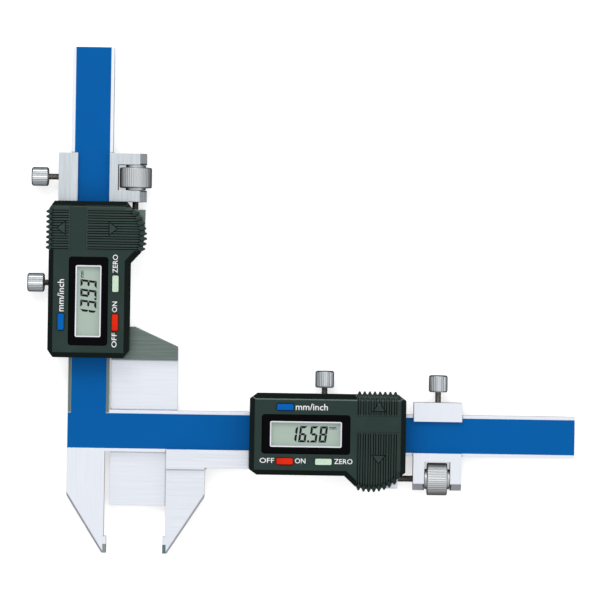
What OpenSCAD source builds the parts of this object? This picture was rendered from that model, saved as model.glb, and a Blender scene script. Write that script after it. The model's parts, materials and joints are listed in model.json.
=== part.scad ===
// Digital gear tooth caliper: an L-shaped steel frame with a fixed jaw, a horizontal slider that
// carries the moving jaw, and a vertical slider that carries the tongue. Both sliders have the same
// display unit and the same fine adjustment, so both are drawn once, along a beam of their own.
//
// X = 0 is the face of the fixed jaw, Y = 0 the ends of both jaws, Z = 0 the middle of the beams.
// Lengths are in millimetres. On a beam of its own, x runs along the beam from the plain end of the
// display unit, y runs across it with the clamp screws at +y, and z points to the reader.

/* [Reading] */
// Opening between the two jaw faces
jaw_opening = 16.58; // [2:0.01:40]
// Height of the tongue's edge above the jaw ends
tongue_height = 13.93; // [2:0.01:36]

/* [Frame] */
// Width of both beams
beam_w = 12.2; // [11.8:0.1:13.4]
// Thickness of the beams and jaws
beam_t = 3; // [2.6:0.1:3.6]
// Reach of the horizontal beam to the right of the fixed jaw's face
h_reach = 137.2; // [136:0.1:200]
// Top of the vertical beam above the jaw ends
v_reach = 148.5; // [147:0.1:220]
// Lower edge of the horizontal beam above the jaw ends
throat = 29.8; // [28:0.1:40]
// Distance of the vertical beam's inner edge beyond the fixed jaw's face
v_edge = 0.4; // [0.2:0.1:0.8]
// Width of the shallow channel that holds scale and label
channel_w = 10.3; // [9:0.1:10.4]
// Thickness of the scale boards
scale_t = 0.5; // [0.3:0.1:0.8]
// Thickness of the labels
label_t = 0.2; // [0.1:0.05:0.3]
// Diameter of the end stop screws' heads
stop_d = 2.5; // [2:0.1:4]
// Height of the end stop screws' heads
stop_h = 0.9; // [0.5:0.1:1.3]

/* [Jaws] */
// Height of the measuring nose at each jaw end
nose_h = 4.85; // [3.5:0.05:8]
// Step from the measuring face back to the jaw's inner edge
nose_step = 0.75; // [0.3:0.05:1.2]
// Width of each jaw at its very end
nose_w = 1.35; // [1.2:0.05:2.5]
// Height at which the outer slope of each jaw ends
taper_h = 16.7; // [12:0.1:22]
// Width of the moving jaw
jaw_w = 12.15; // [8:0.05:14]
// Bevel along the outer slope of each jaw
jaw_bevel = 0.6; // [0.3:0.1:1]
// Width of the hard tips let into both noses
tip_w = 1; // [0.6:0.05:1.1]
// Height of the hard tips
tip_h = 2.6; // [1.5:0.1:3.4]
// Radius between the moving jaw and its slider
jaw_fillet = 1.2; // [0.5:0.1:2.5]

/* [Tongue] */
// Width of the tongue
tongue_w = 19.6; // [12:0.1:20]
// Gap between the vertical beam and the tongue's side
tongue_gap = 0.3; // [0.1:0.05:0.6]
// Thickness of the tongue and of the plates behind the beams
plate_t = 1.5; // [1.2:0.1:2]
// Height of the tongue's thin part up to its thick shoulder
tongue_l = 42.9; // [42.4:0.1:43]
// Height of the shoulder at its outer end
shoulder_h = 4; // [2:0.1:8]
// Height of the shoulder at the housing
shoulder_top = 9.7; // [5:0.1:16]
// Distance from the vertical beam's edge to where the shoulder starts to slope
shoulder_x = 7.1; // [5:0.1:10]

/* [Sliders] */
// Running gap between sliders and beams
run_gap = 0.08; // [0.03:0.01:0.1]
// Width of the slider's leg on each side of the beam
leg_w = 4.4; // [4.2:0.1:5.4]
// Overlap of the front lips on the beam's bare edges
lip_w = 0.9; // [0.6:0.05:1.4]
// Front of the sliders above the beam's front
slider_rise = 1.7; // [1.6:0.1:2.2]
// Length of the slider's body along the beam
slider_l = 43.2; // [42.6:0.1:43.4]
// Distance from the moving jaw's face to the display unit
h_offset = 25.2; // [25:0.1:40]
// Distance from the tongue's edge to the display unit
v_offset = 43.4; // [43.3:0.1:60]
// Distance from the moving jaw's face to the start of the plate behind the beam
back_offset = 20.7; // [20.6:0.1:24]
// Thickness of the gib strip
gib_t = 1; // [0.8:0.05:1.1]
// Diameter of the gib screws
gib_screw_d = 2; // [1.6:0.1:2.4]
// Distance of the lock screw from the unit's plain end
lock_x = 21.8; // [14:0.1:25]
// Diameter of the housing screws
house_screw_d = 1.6; // [1.2:0.1:1.7]
// Diameter of the housing screws' heads
house_head_d = 2.6; // [2.2:0.1:2.8]

/* [Display unit] */
// Length of the display unit
unit_l = 45.7; // [45.3:0.1:48]
// Overhang of the unit beyond the slider's legs
unit_over = 1.4; // [1.2:0.05:2.5]
// Height of the display housing
unit_h = 8; // [7.9:0.05:10]
// Bevel all round the housing's front
unit_bevel = 1.6; // [1:0.05:1.6]
// Length of the corner chamfers along the unit
corner_l = 2.2; // [1:0.1:3]
// Width of the corner chamfers across the unit
corner_w = 1.6; // [1:0.1:2]
// Thickness of the housing's side walls
wall_t = 1.5; // [1.4:0.05:1.8]
// Thickness of the housing's front wall
front_t = 1.6; // [1.4:0.05:1.8]
// Radius of the round battery bulge
bulge_r = 12.1; // [11.8:0.1:12.6]
// Distance of the bulge's centre from the ribbed end
bulge_x = 10.3; // [9.6:0.1:10.6]
// Distance that the bulge stands out of the housing's side
bulge_out = 3.75; // [3.2:0.05:4.2]
// Distance from the plain end to where the straight flank of the bulge leaves the housing's side
flank_x = 27.8; // [26:0.1:29]

/* [Display] */
// Length of the black bezel
bezel_l = 25.7; // [25.4:0.1:26.2]
// Width of the black bezel
bezel_w = 11.35; // [11:0.05:11.6]
// Distance of the display's middle from the unit's plain end
display_x = 16.5; // [16.3:0.1:17]
// Shift of the display's middle towards the unit button
display_y = 0.1; // [0:0.05:0.4]
// Length of the visible glass
glass_l = 20.2; // [16:0.1:20.4]
// Width of the visible glass
glass_w = 6.8; // [5:0.1:7.2]
// Width of the light rim round the glass
rim_w = 0.35; // [0.3:0.05:0.6]

/* [Buttons] */
// Length of each button
button_l = 4.8; // [3.5:0.1:5.2]
// Width of each button
button_w = 1.8; // [1.5:0.1:2.3]
// Height of the buttons above the housing
button_up = 0.6; // [0.5:0.05:1]
// Travel of the buttons
button_travel = 0.45; // [0.3:0.05:0.5]
// Gap round the buttons
button_gap = 0.15; // [0.1:0.05:0.2]
// Distance of the unit button from the housing's side
button_edge1 = 3.9; // [3.7:0.1:4.3]
// Distance of the power and zero buttons from the housing's side
button_edge2 = 4.1; // [3.8:0.1:4.4]
// Distance of the unit and power buttons from the plain end
button_x1 = 10.4; // [9:0.1:12]
// Distance of the zero button from the plain end
button_x2 = 21.7; // [19:0.1:22.4]

/* [Covers] */
// Start of both ribbed covers from the unit's plain end
cover_x = 31.4; // [31.2:0.1:31.7]
// Inner edge of the battery cover above the beam's middle
battery_cover_y = 1; // [0.2:0.1:2]
// Length of the port cover across the unit
port_cover_l = 6.2; // [4.5:0.1:6.5]
// Thickness of the covers' front plates
cover_t = 1.4; // [1.3:0.05:1.45]
// Thickness of the covers' outer walls
skirt_t = 1.3; // [1:0.05:1.4]
// Running gap round the covers
cover_gap = 0.06; // [0.04:0.01:0.1]
// Number of ribs on each cover
rib_n = 8; // [5:1:8]
// Distance from rib to rib
rib_pitch = 1.5; // [1.3:0.05:1.52]
// Height of the rib teeth at the covers' sides
rib_tooth = 0.9; // [0.4:0.05:1]
// Depth of the grooves beside each rib
rib_groove = 0.45; // [0.2:0.05:0.5]
// Height of the ribs above the covers
rib_up = 0.15; // [0:0.05:0.3]
// Diameter of the button cell
cell_d = 11.6; // [11:0.1:11.6]
// Height of the button cell
cell_h = 5.4; // [4:0.1:5.4]

/* [Fine adjustment] */
// Distance of the fine screw's axis from the beam's edge
fine_off = 6.7; // [6.6:0.1:7.6]
// Diameter of the fine screw
fine_d = 2; // [1.8:0.1:2.4]
// Length of the fine screw
fine_l = 22; // [21.6:0.1:22.4]
// Depth to which the fine screw sits in the slider's ear
fine_seat = 5.8; // [4:0.1:6.2]
// Length of the carriage along the beam
carriage_l = 14.2; // [14:0.1:15]
// Distance between the slider's body and the carriage on the horizontal beam
h_gap = 4.5; // [4.2:0.1:5]
// Distance between the slider's body and the carriage on the vertical beam
v_gap = 2.25; // [2.2:0.05:3]
// Width of the slot for the knurled nut
slot_w = 7.6; // [7.5:0.05:8.2]
// Distance of the slot from the beam's edge
slot_off = 1.6; // [1.3:0.1:1.8]
// Diameter of the knurled nut
nut_d = 9.5; // [8:0.1:9.8]
// Length of the nut's knurled part
nut_l = 5.9; // [4.5:0.1:6]
// Diameter of the nut's collars
collar_d = 5.9; // [4:0.1:6.5]
// Play of the nut between the fork's arms, on each side
nut_play = 0.05; // [0.03:0.01:0.1]
// Number of knurl teeth on the nut
nut_teeth = 44; // [24:2:48]

/* [Clamp screws] */
// Diameter of the clamp screws' shanks
clamp_d = 1.9; // [1.6:0.05:2.2]
// Gap between a clamp screw and its bore
clamp_gap = 0.05; // [0.02:0.01:0.08]
// Diameter of the knurled heads
head_d = 5.5; // [4.5:0.1:5.9]
// Length of the knurled heads
head_l = 5.1; // [3.5:0.1:6.5]
// Number of knurl teeth on the heads
head_teeth = 24; // [16:2:30]
// Length of the brass pads under the screws
pad_l = 0.9; // [0.6:0.1:1.2]
// Bare shank between slider and knurled head
neck_l = 3; // [2:0.1:4]

/* [Hidden] */
$fn = 64;
cut = 1;
far = 400;
beam_half = beam_w / 2;
h_mid = throat + beam_half;
v_mid = v_edge - beam_half;
left_x = v_edge - beam_w;
channel_d = scale_t + label_t;
back_top = -beam_t / 2 - run_gap;
back_z = back_top - plate_t;
lip_z = beam_t / 2 + run_gap;
slider_z = beam_t / 2 + slider_rise;
window_half = beam_half - lip_w;
slider_half = beam_half + leg_w;
slider_x = 0.4;
slider_end = slider_x + slider_l;
gib_y = beam_half + run_gap;
gib_out = gib_y + gib_t;
gib_gap = 0.05;
gib_wall = 1.1;
gib_screw_x1 = 8.5;
gib_screw_x2 = 36;
gib_screw_in = 0.3;
drive_half = 0.2;
drive_d = 0.4;
screw_gap = 0.02;
seat_gap = 0.05;
pad_gap = 0.03;
h_unit = jaw_opening + h_offset;
v_unit = tongue_height + v_offset;
unit_half = slider_half + unit_over;
unit_top = slider_z + unit_h;
bevel_z = unit_top - unit_bevel;
end_corner_l = 1.6;
end_corner_w = 1.2;
bulge_cx = unit_l - bulge_x;
bulge_cy = bulge_r - unit_half - bulge_out;
flank_end = cover_x - 0.5;
flank_drop = 0.08;
front_z = unit_top - front_t;
cavity_end = cover_x - 1;
boss_r = 1.65;
screw_y = (gib_out + slider_half) / 2;
screw_x1 = 3.2;
screw_x2 = cavity_end - boss_r + seat_gap;
screw_tip = slider_z + 2.8;
house_head_h = 0.8;
board_t = 1;
board_z = lip_z + 0.5;
board_x1 = screw_x1 + boss_r + 0.6;
board_x2 = screw_x2 - boss_r - 0.5;
board_half = slider_half - 1.1;
holder_wall = 0.7;
holder_l = glass_l + 2 * (rim_w + holder_wall) + 0.7;
holder_w = glass_w + 2 * (rim_w + holder_wall) + 0.7;
lcd_gap = 0.03;
lcd_t = 1.25;
lcd_top = front_z + 0.1;
lcd_over = 0.75;
ledge_z = front_z + 0.7;
fit_gap = 0.1;
bezel_top = unit_top - 0.1;
bezel_r = 0.9;
rim_r = 0.45;
connector_in = 0.5;
connector_w = 1.4;
flange_over = 0.6;
flange_t = 0.8;
button_y1 = unit_half - button_edge1;
button_y2 = unit_half - button_edge2;
button_r = 0.4;
stem_d = 1.6;
cover_end = unit_l - unit_bevel;
cover_mid = (cover_x + cover_end) / 2;
cover_z = unit_top - cover_t;
guide_w = 0.3;
guide_t = 0.4;
skirt_z = slider_z + 0.9;
port_y = unit_half - port_cover_l;
port_skirt = 4.7;
rib_x = cover_x + 0.65;
rib_half = 0.62;
crest_half = 0.18;
crest_root = 0.9;
crest_low = 0.5;
groove_w = 0.28;
groove_off = 0.32;
groove_end = 0.4;
tooth_root = rib_groove + 0.1;
tooth_tip = 0.2;
tooth_drop = 0.6;
mitre = tan(22.5);
mark_w = 3.4;
mark_l = 2.2;
mark_line = 0.25;
battery_mark_y = -5.8;
port_mark_y = port_y + 1.5;
port_l = 7.6;
port_h = 3;
port_in = 3;
guide_in = 2;
cell_gap = 0.15;
cell_step = 0.3;
cell_pole = 2.4;
cell_back = 0.9;
cell_x = cover_x + cell_d / 2 + 0.3;
cell_y = -(unit_half + bulge_out - skirt_t - cell_back - cell_d / 2);
contact_t = 0.2;
contact_w = 2.5;
contact_in = 0.8;
contact_low = 0.6;
fine_y = -(beam_half + fine_off);
ear_x = slider_end - 7;
ear_half = 2.9;
fork_half = 3.25;
fork_bevel = 1.95;
carriage_z = slider_z - 0.2;
carriage_up = 3.6;
carriage_lip = 2;
h_carriage = slider_end + h_gap;
v_carriage = slider_end + v_gap;
arm_l = (carriage_l - slot_w) / 2;
nut_bore = 0.03;
fork_bore = 0.1;
knurl_d = 0.2;
nut_chamfer = 0.5;
head_chamfer = 0.45;
leg_drop = 0.5;
stop_in = 0.1;
tongue_x = v_edge + tongue_gap;

// Places

// Carries a shape from its own beam to the horizontal beam, x0 from the fixed jaw's face.
module on_h(x0) {
    translate([x0, h_mid, 0])
        children();
}

// Carries a shape from its own beam to the vertical beam, y0 above the jaw ends.
module on_v(y0) {
    translate([v_mid, y0, 0])
        rotate([0, 0, 90])
            children();
}

// Basic shapes

// A box between two corners.
module box(a, b) {
    translate(a)
        cube(b - a);
}

// A bar along x with the given outline in y and z.
module bar(x0, x1, points) {
    translate([x0, 0, 0])
        rotate([90, 0, 90])
            linear_extrude(x1 - x0)
                polygon(points);
}

// A cylinder along y from y0 to y1.
module rod_y(y0, y1, d) {
    translate([0, y0, 0])
        rotate([-90, 0, 0])
            cylinder(h = y1 - y0, d = d);
}

// A cylinder along x from x0 to x1.
module rod_x(x0, x1, d) {
    translate([x0, 0, 0])
        rotate([0, 90, 0])
            cylinder(h = x1 - x0, d = d);
}

// An upright block with round corners, centred on the origin, from z0 to z1.
module round_block(l, w, r, z0, z1) {
    box([-l / 2 + r, -w / 2, z0], [l / 2 - r, w / 2, z1]);
    box([-l / 2, -w / 2 + r, z0], [l / 2, w / 2 - r, z1]);
    for (sx = [-1, 1], sy = [-1, 1])
        translate([sx * (l / 2 - r), sy * (w / 2 - r), z0])
            cylinder(h = z1 - z0, r = r);
}

// A straight-knurled knob along z with a chamfer at both ends.
module knurled(l, d, teeth, chamfer) {
    intersection() {
        linear_extrude(l)
            polygon([
                for (i = [0 : 2 * teeth - 1])
                    let (r = d / 2 - (i % 2) * knurl_d, a = i * 180 / teeth)
                        [r * cos(a), r * sin(a)]
            ]);
        rotate_extrude()
            polygon([
                [0, 0], [d / 2 - chamfer, 0], [d / 2 + knurl_d, chamfer + knurl_d],
                [d / 2 + knurl_d, l - chamfer - knurl_d], [d / 2 - chamfer, l], [0, l],
            ]);
    }
}

// A 45 degree bevel along the front edge of the jaws, from point p to point q.
module edge_bevel(p, q) {
    side = jaw_bevel * sqrt(2);
    translate([p.x, p.y, beam_t / 2])
        rotate([0, 0, atan2(q.y - p.y, q.x - p.x)])
            rotate([45, 0, 0])
                translate([-cut, -side / 2, -side / 2])
                    cube([norm(q - p) + 2 * cut, side, side]);
}

// Frame

module main_frame() {
    color("gainsboro")
    difference() {
        translate([0, 0, -beam_t / 2])
            linear_extrude(beam_t)
                polygon([
                    [left_x, v_reach], [v_edge, v_reach], [v_edge, throat + beam_w],
                    [h_reach, throat + beam_w], [h_reach, throat], [-nose_step, throat],
                    [-nose_step, nose_h], [0, nose_h], [0, 0], [-nose_w, 0], [left_x, taper_h],
                ]);
        h_strip(channel_d, cut);
        v_strip(channel_d, cut);
        box([-tip_w, -cut, -beam_t], [cut, tip_h, beam_t]);
        edge_bevel([-nose_w, 0], [left_x, taper_h]);
        end_stops()
            translate([0, 0, -stop_h - cut])
                cylinder(h = stop_h + cut + beam_t / 2, d = stop_d / 2);
    }
}

// The strip of the horizontal beam's channel from depth down to lift above the beam's front.
module h_strip(depth, lift) {
    box([left_x - (lift > 0 ? cut : 0), h_mid - channel_w / 2, beam_t / 2 - depth],
        [h_reach + (lift > 0 ? cut : 0), h_mid + channel_w / 2, beam_t / 2 + lift]);
}

// The strip of the vertical beam's channel, above the horizontal one.
module v_strip(depth, lift) {
    box([v_mid - channel_w / 2, h_mid + channel_w / 2, beam_t / 2 - depth],
        [v_mid + channel_w / 2, v_reach + (lift > 0 ? cut : 0), beam_t / 2 + lift]);
}

// Places a shape on the back of both beams, close to their free ends.
module end_stops() {
    translate([h_reach - stop_d / 2 - stop_in, h_mid, -beam_t / 2])
        children();
    translate([v_mid, v_reach - stop_d / 2 - stop_in, -beam_t / 2])
        children();
}

module fixed_jaw_tip() {
    color("dimgray")
        box([-tip_w, 0, -beam_t / 2], [0, tip_h, beam_t / 2]);
}

module horizontal_scale() {
    color("darkgreen")
        h_strip(channel_d, -label_t);
}

module vertical_scale() {
    color("darkgreen")
        v_strip(channel_d, -label_t);
}

module horizontal_label() {
    color("royalblue")
        h_strip(label_t, 0);
}

module vertical_label() {
    color("royalblue")
        v_strip(label_t, 0);
}

module end_stop_screws() {
    color("silver")
        end_stops()
            translate([0, 0, -stop_h]) {
                cylinder(h = stop_h, d = stop_d);
                cylinder(h = stop_h + beam_t / 2, d = stop_d / 2);
            }
}

// Sliders

// The bores for the four screws that hold the housing, or the screws themselves.
module at_housing_screws() {
    for (x = [screw_x1, screw_x2], side = [-1, 1])
        translate([x, side * screw_y, 0])
            children();
}

// The body that both sliders share: plate behind the beam, legs, lips, seat of the board and ear.
// What a slider has of its own is passed in as children and is cut and bored with the rest.
module slider_body() {
    difference() {
        union() {
            box([slider_x, -slider_half, back_z], [slider_end, slider_half, slider_z]);
            box([ear_x, fine_y - ear_half, back_z], [slider_end, -slider_half + cut, carriage_z]);
            children();
        }
        box([-far, -beam_half - run_gap, -lip_z], [far, beam_half + run_gap, lip_z]);
        box([-far, -window_half, 0], [far, window_half, far]);
        box([slider_x + gib_wall, 0, -lip_z], [slider_end - gib_wall, gib_out + gib_gap, lip_z]);
        box([board_x1 - fit_gap, -board_half - fit_gap, board_z],
            [board_x2 + fit_gap, board_half + fit_gap, slider_z + cut]);
        at_gib_screws()
            rod_y(0, slider_half + cut, gib_screw_d + 2 * screw_gap);
        translate([lock_x, 0, 0])
            rod_y(0, slider_half + cut, clamp_d + 2 * clamp_gap);
        at_housing_screws() {
            translate([0, 0, back_z - cut])
                cylinder(h = far, d = house_screw_d + 2 * seat_gap);
            translate([0, 0, back_z - cut])
                cylinder(h = house_head_h + cut, d = house_head_d + 2 * seat_gap);
        }
        translate([0, fine_y, 0])
            rod_x(slider_end - fine_seat, slider_end + cut, fine_d + screw_gap);
    }
}

module at_gib_screws() {
    for (x = [gib_screw_x1, gib_screw_x2])
        translate([x, 0, 0])
            children();
}

module jaw_slider() {
    leg_x = nose_step - h_offset;
    leg_low = -slider_half - leg_drop;
    jaw_out = jaw_w - h_offset;
    back_x = back_offset - h_offset;
    color("lightgray")
        on_h(h_unit)
            slider_body() {
                box([leg_x, -slider_half, -beam_t / 2], [slider_x, 0, slider_z]);
                box([leg_x, leg_low, -beam_t / 2], [jaw_out, -slider_half + cut, slider_z]);
                box([back_x, -slider_half, back_z], [slider_x, -beam_half, 0]);
                box([back_x, -slider_half, back_z], [slider_x, beam_half, back_top]);
                translate([-h_offset, -h_mid, 0])
                    moving_jaw();
            }
}

// The moving jaw with its nose, measured from its face, up to the slider's leg.
module moving_jaw() {
    leg_y = throat - leg_w;
    difference() {
        union() {
            translate([0, 0, -beam_t / 2])
                linear_extrude(beam_t)
                    polygon([
                        [0, 0], [nose_w, 0], [jaw_w, taper_h], [jaw_w, leg_y + cut],
                        [nose_step, leg_y + cut], [nose_step, nose_h], [0, nose_h],
                    ]);
            translate([0, 0, -beam_t / 2])
                linear_extrude(beam_t)
                    difference() {
                        translate([jaw_w, leg_y - jaw_fillet])
                            square(jaw_fillet);
                        translate([jaw_w + jaw_fillet, leg_y - jaw_fillet])
                            circle(r = jaw_fillet);
                    }
        }
        box([-cut, -cut, -beam_t], [tip_w, tip_h, beam_t]);
        edge_bevel([nose_w, 0], [jaw_w, taper_h]);
    }
}

module moving_jaw_tip() {
    color("dimgray")
        translate([jaw_opening, 0, 0])
            box([0, 0, -beam_t / 2], [tip_w, tip_h, beam_t / 2]);
}

module tongue_slider() {
    color("lightgray")
        on_v(v_unit)
            slider_body()
                rotate([0, 0, -90])
                    translate([-v_mid, -v_offset, 0])
                        tongue();
}

// The tongue and its thick shoulder, measured up from the tongue's edge.
module tongue() {
    box([tongue_x, 0, back_z], [tongue_x + tongue_w, tongue_l + cut, back_top]);
    translate([0, 0, back_z])
        linear_extrude(beam_t / 2 - back_z)
            polygon([
                [tongue_x, tongue_l], [tongue_x + tongue_w, tongue_l],
                [tongue_x + tongue_w, tongue_l + shoulder_h],
                [v_edge + shoulder_x, tongue_l + shoulder_top], [tongue_x, tongue_l + shoulder_top],
            ]);
}

module gib() {
    color("goldenrod")
        box([slider_x + gib_wall + gib_gap, gib_y, -beam_t / 2],
            [slider_end - gib_wall - gib_gap, gib_out, beam_t / 2]);
}

module gib_screws() {
    color("dimgray")
        at_gib_screws()
            difference() {
                rod_y(gib_out + screw_gap, slider_half - gib_screw_in, gib_screw_d);
                translate([0, slider_half - gib_screw_in, 0])
                    box([-far, -drive_d, -drive_half], [far, cut, drive_half]);
            }
}

module housing_screws() {
    color("dimgray")
        at_housing_screws()
            difference() {
                union() {
                    translate([0, 0, back_z + seat_gap])
                        cylinder(h = house_head_h - seat_gap, d = house_head_d);
                    translate([0, 0, back_z + seat_gap])
                        cylinder(h = screw_tip - back_z - seat_gap, d = house_screw_d);
                }
                box([-far, -drive_half, back_z - cut], [far, drive_half, back_z + drive_d]);
            }
}

// Display unit

// The whole outer form of the display unit, covers included.
module unit_form() {
    intersection() {
        union() {
            intersection() {
                bar(0, unit_l, side_profile(unit_half, unit_half));
                corner_prism();
            }
            bulge();
        }
        rotate([90, 0, 0])
            translate([0, 0, -far / 2])
                linear_extrude(far)
                    polygon([
                        [0, slider_z], [0, bevel_z], [unit_bevel, unit_top],
                        [unit_l - unit_bevel, unit_top], [unit_l, bevel_z], [unit_l, slider_z],
                    ]);
    }
}

// The housing's cross section, from -a to b.
function side_profile(a, b) = [
    [-a, slider_z], [-a, bevel_z], [-a + unit_bevel, unit_top],
    [b - unit_bevel, unit_top], [b, bevel_z], [b, slider_z],
];

// The housing's plan with its chamfered corners, as a tall prism.
module corner_prism() {
    linear_extrude(unit_top + cut)
        polygon([
            [0, corner_w - unit_half], [corner_l, -unit_half],
            [unit_l - end_corner_l, -unit_half], [unit_l, end_corner_w - unit_half],
            [unit_l, unit_half - corner_w], [unit_l - corner_l, unit_half],
            [corner_l, unit_half], [0, unit_half - corner_w],
        ]);
}

// The round bulge over the button cell, with a straight flank towards the display.
module bulge() {
    rise = bulge_y(flank_end) + unit_half;
    intersection() {
        translate([bulge_cx, bulge_cy, 0]) {
            translate([0, 0, slider_z])
                cylinder(h = bevel_z - slider_z, r = bulge_r);
            translate([0, 0, bevel_z])
                cylinder(h = unit_bevel, r1 = bulge_r, r2 = bulge_r - unit_bevel);
        }
        translate([flank_x, -unit_half, 0])
            rotate([0, 0, atan2(rise, flank_end - flank_x)])
                bar(-far, far, [
                    [0, slider_z], [0, bevel_z - flank_drop], [unit_bevel, unit_top],
                    [far, unit_top], [far, slider_z],
                ]);
    }
}

// The room that a cover takes out of the housing, larger than the cover by g on every side.
module cover_room(y0, y1, guide0, guide1, g) {
    box([cover_x - g, y0, cover_z - g], [cover_end + g, y1, far]);
    box([cover_x - guide_w - g, guide0, cover_z - g],
        [cover_end + guide_w + g, guide1, cover_z + guide_t + g]);
}

// The room of the battery cover: its plate, its guides from guide_y on and its round outer wall.
module battery_cover_room(g, guide_y) {
    cover_room(-far, battery_cover_y + g, guide_y, battery_cover_y + g, g);
    difference() {
        box([cover_x - g, -far, skirt_z - g], [cover_end + g, bulge_cy - guide_in, cover_z]);
        translate([bulge_cx, bulge_cy, 0])
            cylinder(h = far, r = bulge_r - skirt_t - g);
    }
}

// The room of the port cover: its plate, its guides up to guide_y and its straight outer wall.
module port_cover_room(g, guide_y) {
    cover_room(port_y - g, far, port_y - g, guide_y, g);
    box([cover_x - g, unit_half - skirt_t - g, cover_z - port_skirt - g],
        [cover_end + g, far, cover_z]);
}

// The form that the grooves leave standing: the covers' outside, lowered by the grooves' depth.
module groove_floor() {
    low = bevel_z - rib_groove * mitre;
    top = unit_top - rib_groove;
    side = unit_half - rib_groove;
    edge = side - (top - low);
    bar(0, unit_l, [[-side, 0], [-side, low], [-edge, top], [edge, top], [side, low], [side, 0]]);
    translate([bulge_cx, bulge_cy, 0]) {
        cylinder(h = low, r = bulge_r - rib_groove);
        translate([0, 0, low])
            cylinder(h = top - low, r1 = bulge_r - rib_groove, r2 = bulge_r - rib_groove - (top - low));
    }
}

// A triangle that points along +y, its base on the x axis, grown by g on every side.
module arrow(g) {
    polygon([
        [-mark_w / 2 - 2 * g, -g], [mark_w / 2 + 2 * g, -g], [0, mark_l + 1.6 * g],
    ]);
}

// Places an arrow on a cover.
module mark(y, turn, g) {
    translate([cover_mid, y])
        rotate(turn)
            arrow(g);
}

// The grooves of a cover: two beside each rib between y0 and y1, and a line round the arrow.
module cover_grooves(y0, y1, mark_y, turn) {
    difference() {
        linear_extrude(unit_top + cut)
            difference() {
                for (i = [0 : rib_n - 1], side = [-1, 1])
                    translate([rib_x + i * rib_pitch + side * groove_off - groove_w / 2, y0])
                        square([groove_w, y1 - y0]);
                mark(mark_y, turn, mark_line);
            }
        groove_floor();
    }
    translate([0, 0, unit_top - rib_groove])
        linear_extrude(rib_groove + cut)
            difference() {
                mark(mark_y, turn, mark_line);
                mark(mark_y, turn, 0);
            }
}

// The outermost point of the bulge at x.
function bulge_y(x) = bulge_cy - sqrt(pow(bulge_r, 2) - pow(x - bulge_cx, 2));

// One rib along +y that starts at y = -inner, bends over the edge at y = 0 and ends in a tooth that
// stands on the side wall down to z0.
module rib(inner, z0) {
    crest_z = unit_top + rib_up;
    knee = bevel_z - tooth_drop;
    intersection() {
        bar_x(rib_half, [
            [-inner, cover_z + crest_low], [-inner, crest_z], [rib_tooth - (crest_z - knee), crest_z],
            [rib_tooth, knee], [rib_tooth, z0], [-tooth_root, z0], [-tooth_root, bevel_z],
            [-crest_root - groove_off, cover_z + crest_low],
        ]);
        linear_extrude(crest_z + cut)
            polygon([
                [-crest_half, -inner - cut], [crest_half, -inner - cut], [crest_half, -crest_root],
                [rib_half, -tooth_root], [rib_half, 0], [tooth_tip, rib_tooth],
                [-tooth_tip, rib_tooth], [-rib_half, 0], [-rib_half, -tooth_root],
                [-crest_half, -crest_root],
            ]);
    }
}

// A bar along x, half its length on each side of x = 0, with the given outline in y and z.
module bar_x(half, points) {
    bar(-half - cut, half + cut, points);
}

// The ribs of a cover without what stands on its arrow.
module ribs(inner, z0, side_y, turn, mark_y) {
    difference() {
        for (i = [0 : rib_n - 1])
            translate([rib_x + i * rib_pitch, side_y[i], 0])
                rotate([0, 0, turn])
                    rib(inner[i], z0);
        translate([0, 0, cover_z])
            linear_extrude(far)
                mark(mark_y, turn, mark_line);
    }
}

module battery_cover() {
    ends = [for (i = [0 : rib_n - 1]) bulge_y(rib_x + i * rib_pitch)];
    color("darkslategray") {
        difference() {
            intersection() {
                unit_form();
                battery_cover_room(0, guide_in - unit_half);
            }
            cover_grooves(-far, battery_cover_y - groove_end, battery_mark_y, 180);
        }
        ribs([for (y = ends) battery_cover_y - groove_end - y], skirt_z, ends, 180, battery_mark_y);
    }
}

module port_cover() {
    color("darkslategray") {
        difference() {
            intersection() {
                unit_form();
                port_cover_room(0, unit_half - guide_in);
            }
            cover_grooves(port_y + groove_end, far, port_mark_y, 0);
        }
        ribs([for (i = [0 : rib_n - 1]) port_cover_l - groove_end], cover_z - port_skirt,
            [for (i = [0 : rib_n - 1]) unit_half], 0, port_mark_y);
    }
}

module housing() {
    color("darkslategray")
    difference() {
        unit_form();
        difference() {
            box([wall_t, wall_t - unit_half, -cut], [cavity_end, unit_half - wall_t, front_z]);
            at_housing_screws()
                cylinder(h = far, r = boss_r);
        }
        at_housing_screws()
            cylinder(h = screw_tip + cell_gap, d = house_screw_d);
        translate([display_x, display_y, 0]) {
            round_block(bezel_l + 2 * fit_gap, bezel_w + 2 * fit_gap, bezel_r, ledge_z, far);
            box([-holder_l / 2 - fit_gap, -holder_w / 2 - fit_gap, 0],
                [holder_l / 2 + fit_gap, holder_w / 2 + fit_gap, far]);
        }
        at_buttons()
            round_block(button_l + 2 * button_gap, button_w + 2 * button_gap, button_r + button_gap,
                slider_z, far);
        battery_cover_room(cover_gap, -far);
        port_cover_room(cover_gap, far);
        translate([cell_x, cell_y, skirt_z])
            cylinder(h = far, d = cell_d + 2 * cell_gap);
        translate([cell_x, cell_y + cell_d / 2, 0])
            box([-contact_w / 2 - seat_gap, -cut, skirt_z],
                [contact_w / 2 + seat_gap, contact_t + 4 * seat_gap, far]);
        port_recess();
    }
}

// The recess of the data port behind its cover.
module port_recess() {
    box([cover_mid - port_l / 2, unit_half - skirt_t - port_in, cover_z - port_h - skirt_t],
        [cover_mid + port_l / 2, far, cover_z - skirt_t]);
}

module bezel() {
    color("black")
        translate([display_x, display_y, 0])
            difference() {
                round_block(bezel_l, bezel_w, bezel_r - fit_gap, ledge_z, bezel_top);
                round_block(glass_l + 2 * (rim_w + seat_gap), glass_w + 2 * (rim_w + seat_gap),
                    rim_r + seat_gap, ledge_z - cut, far);
            }
}

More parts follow.
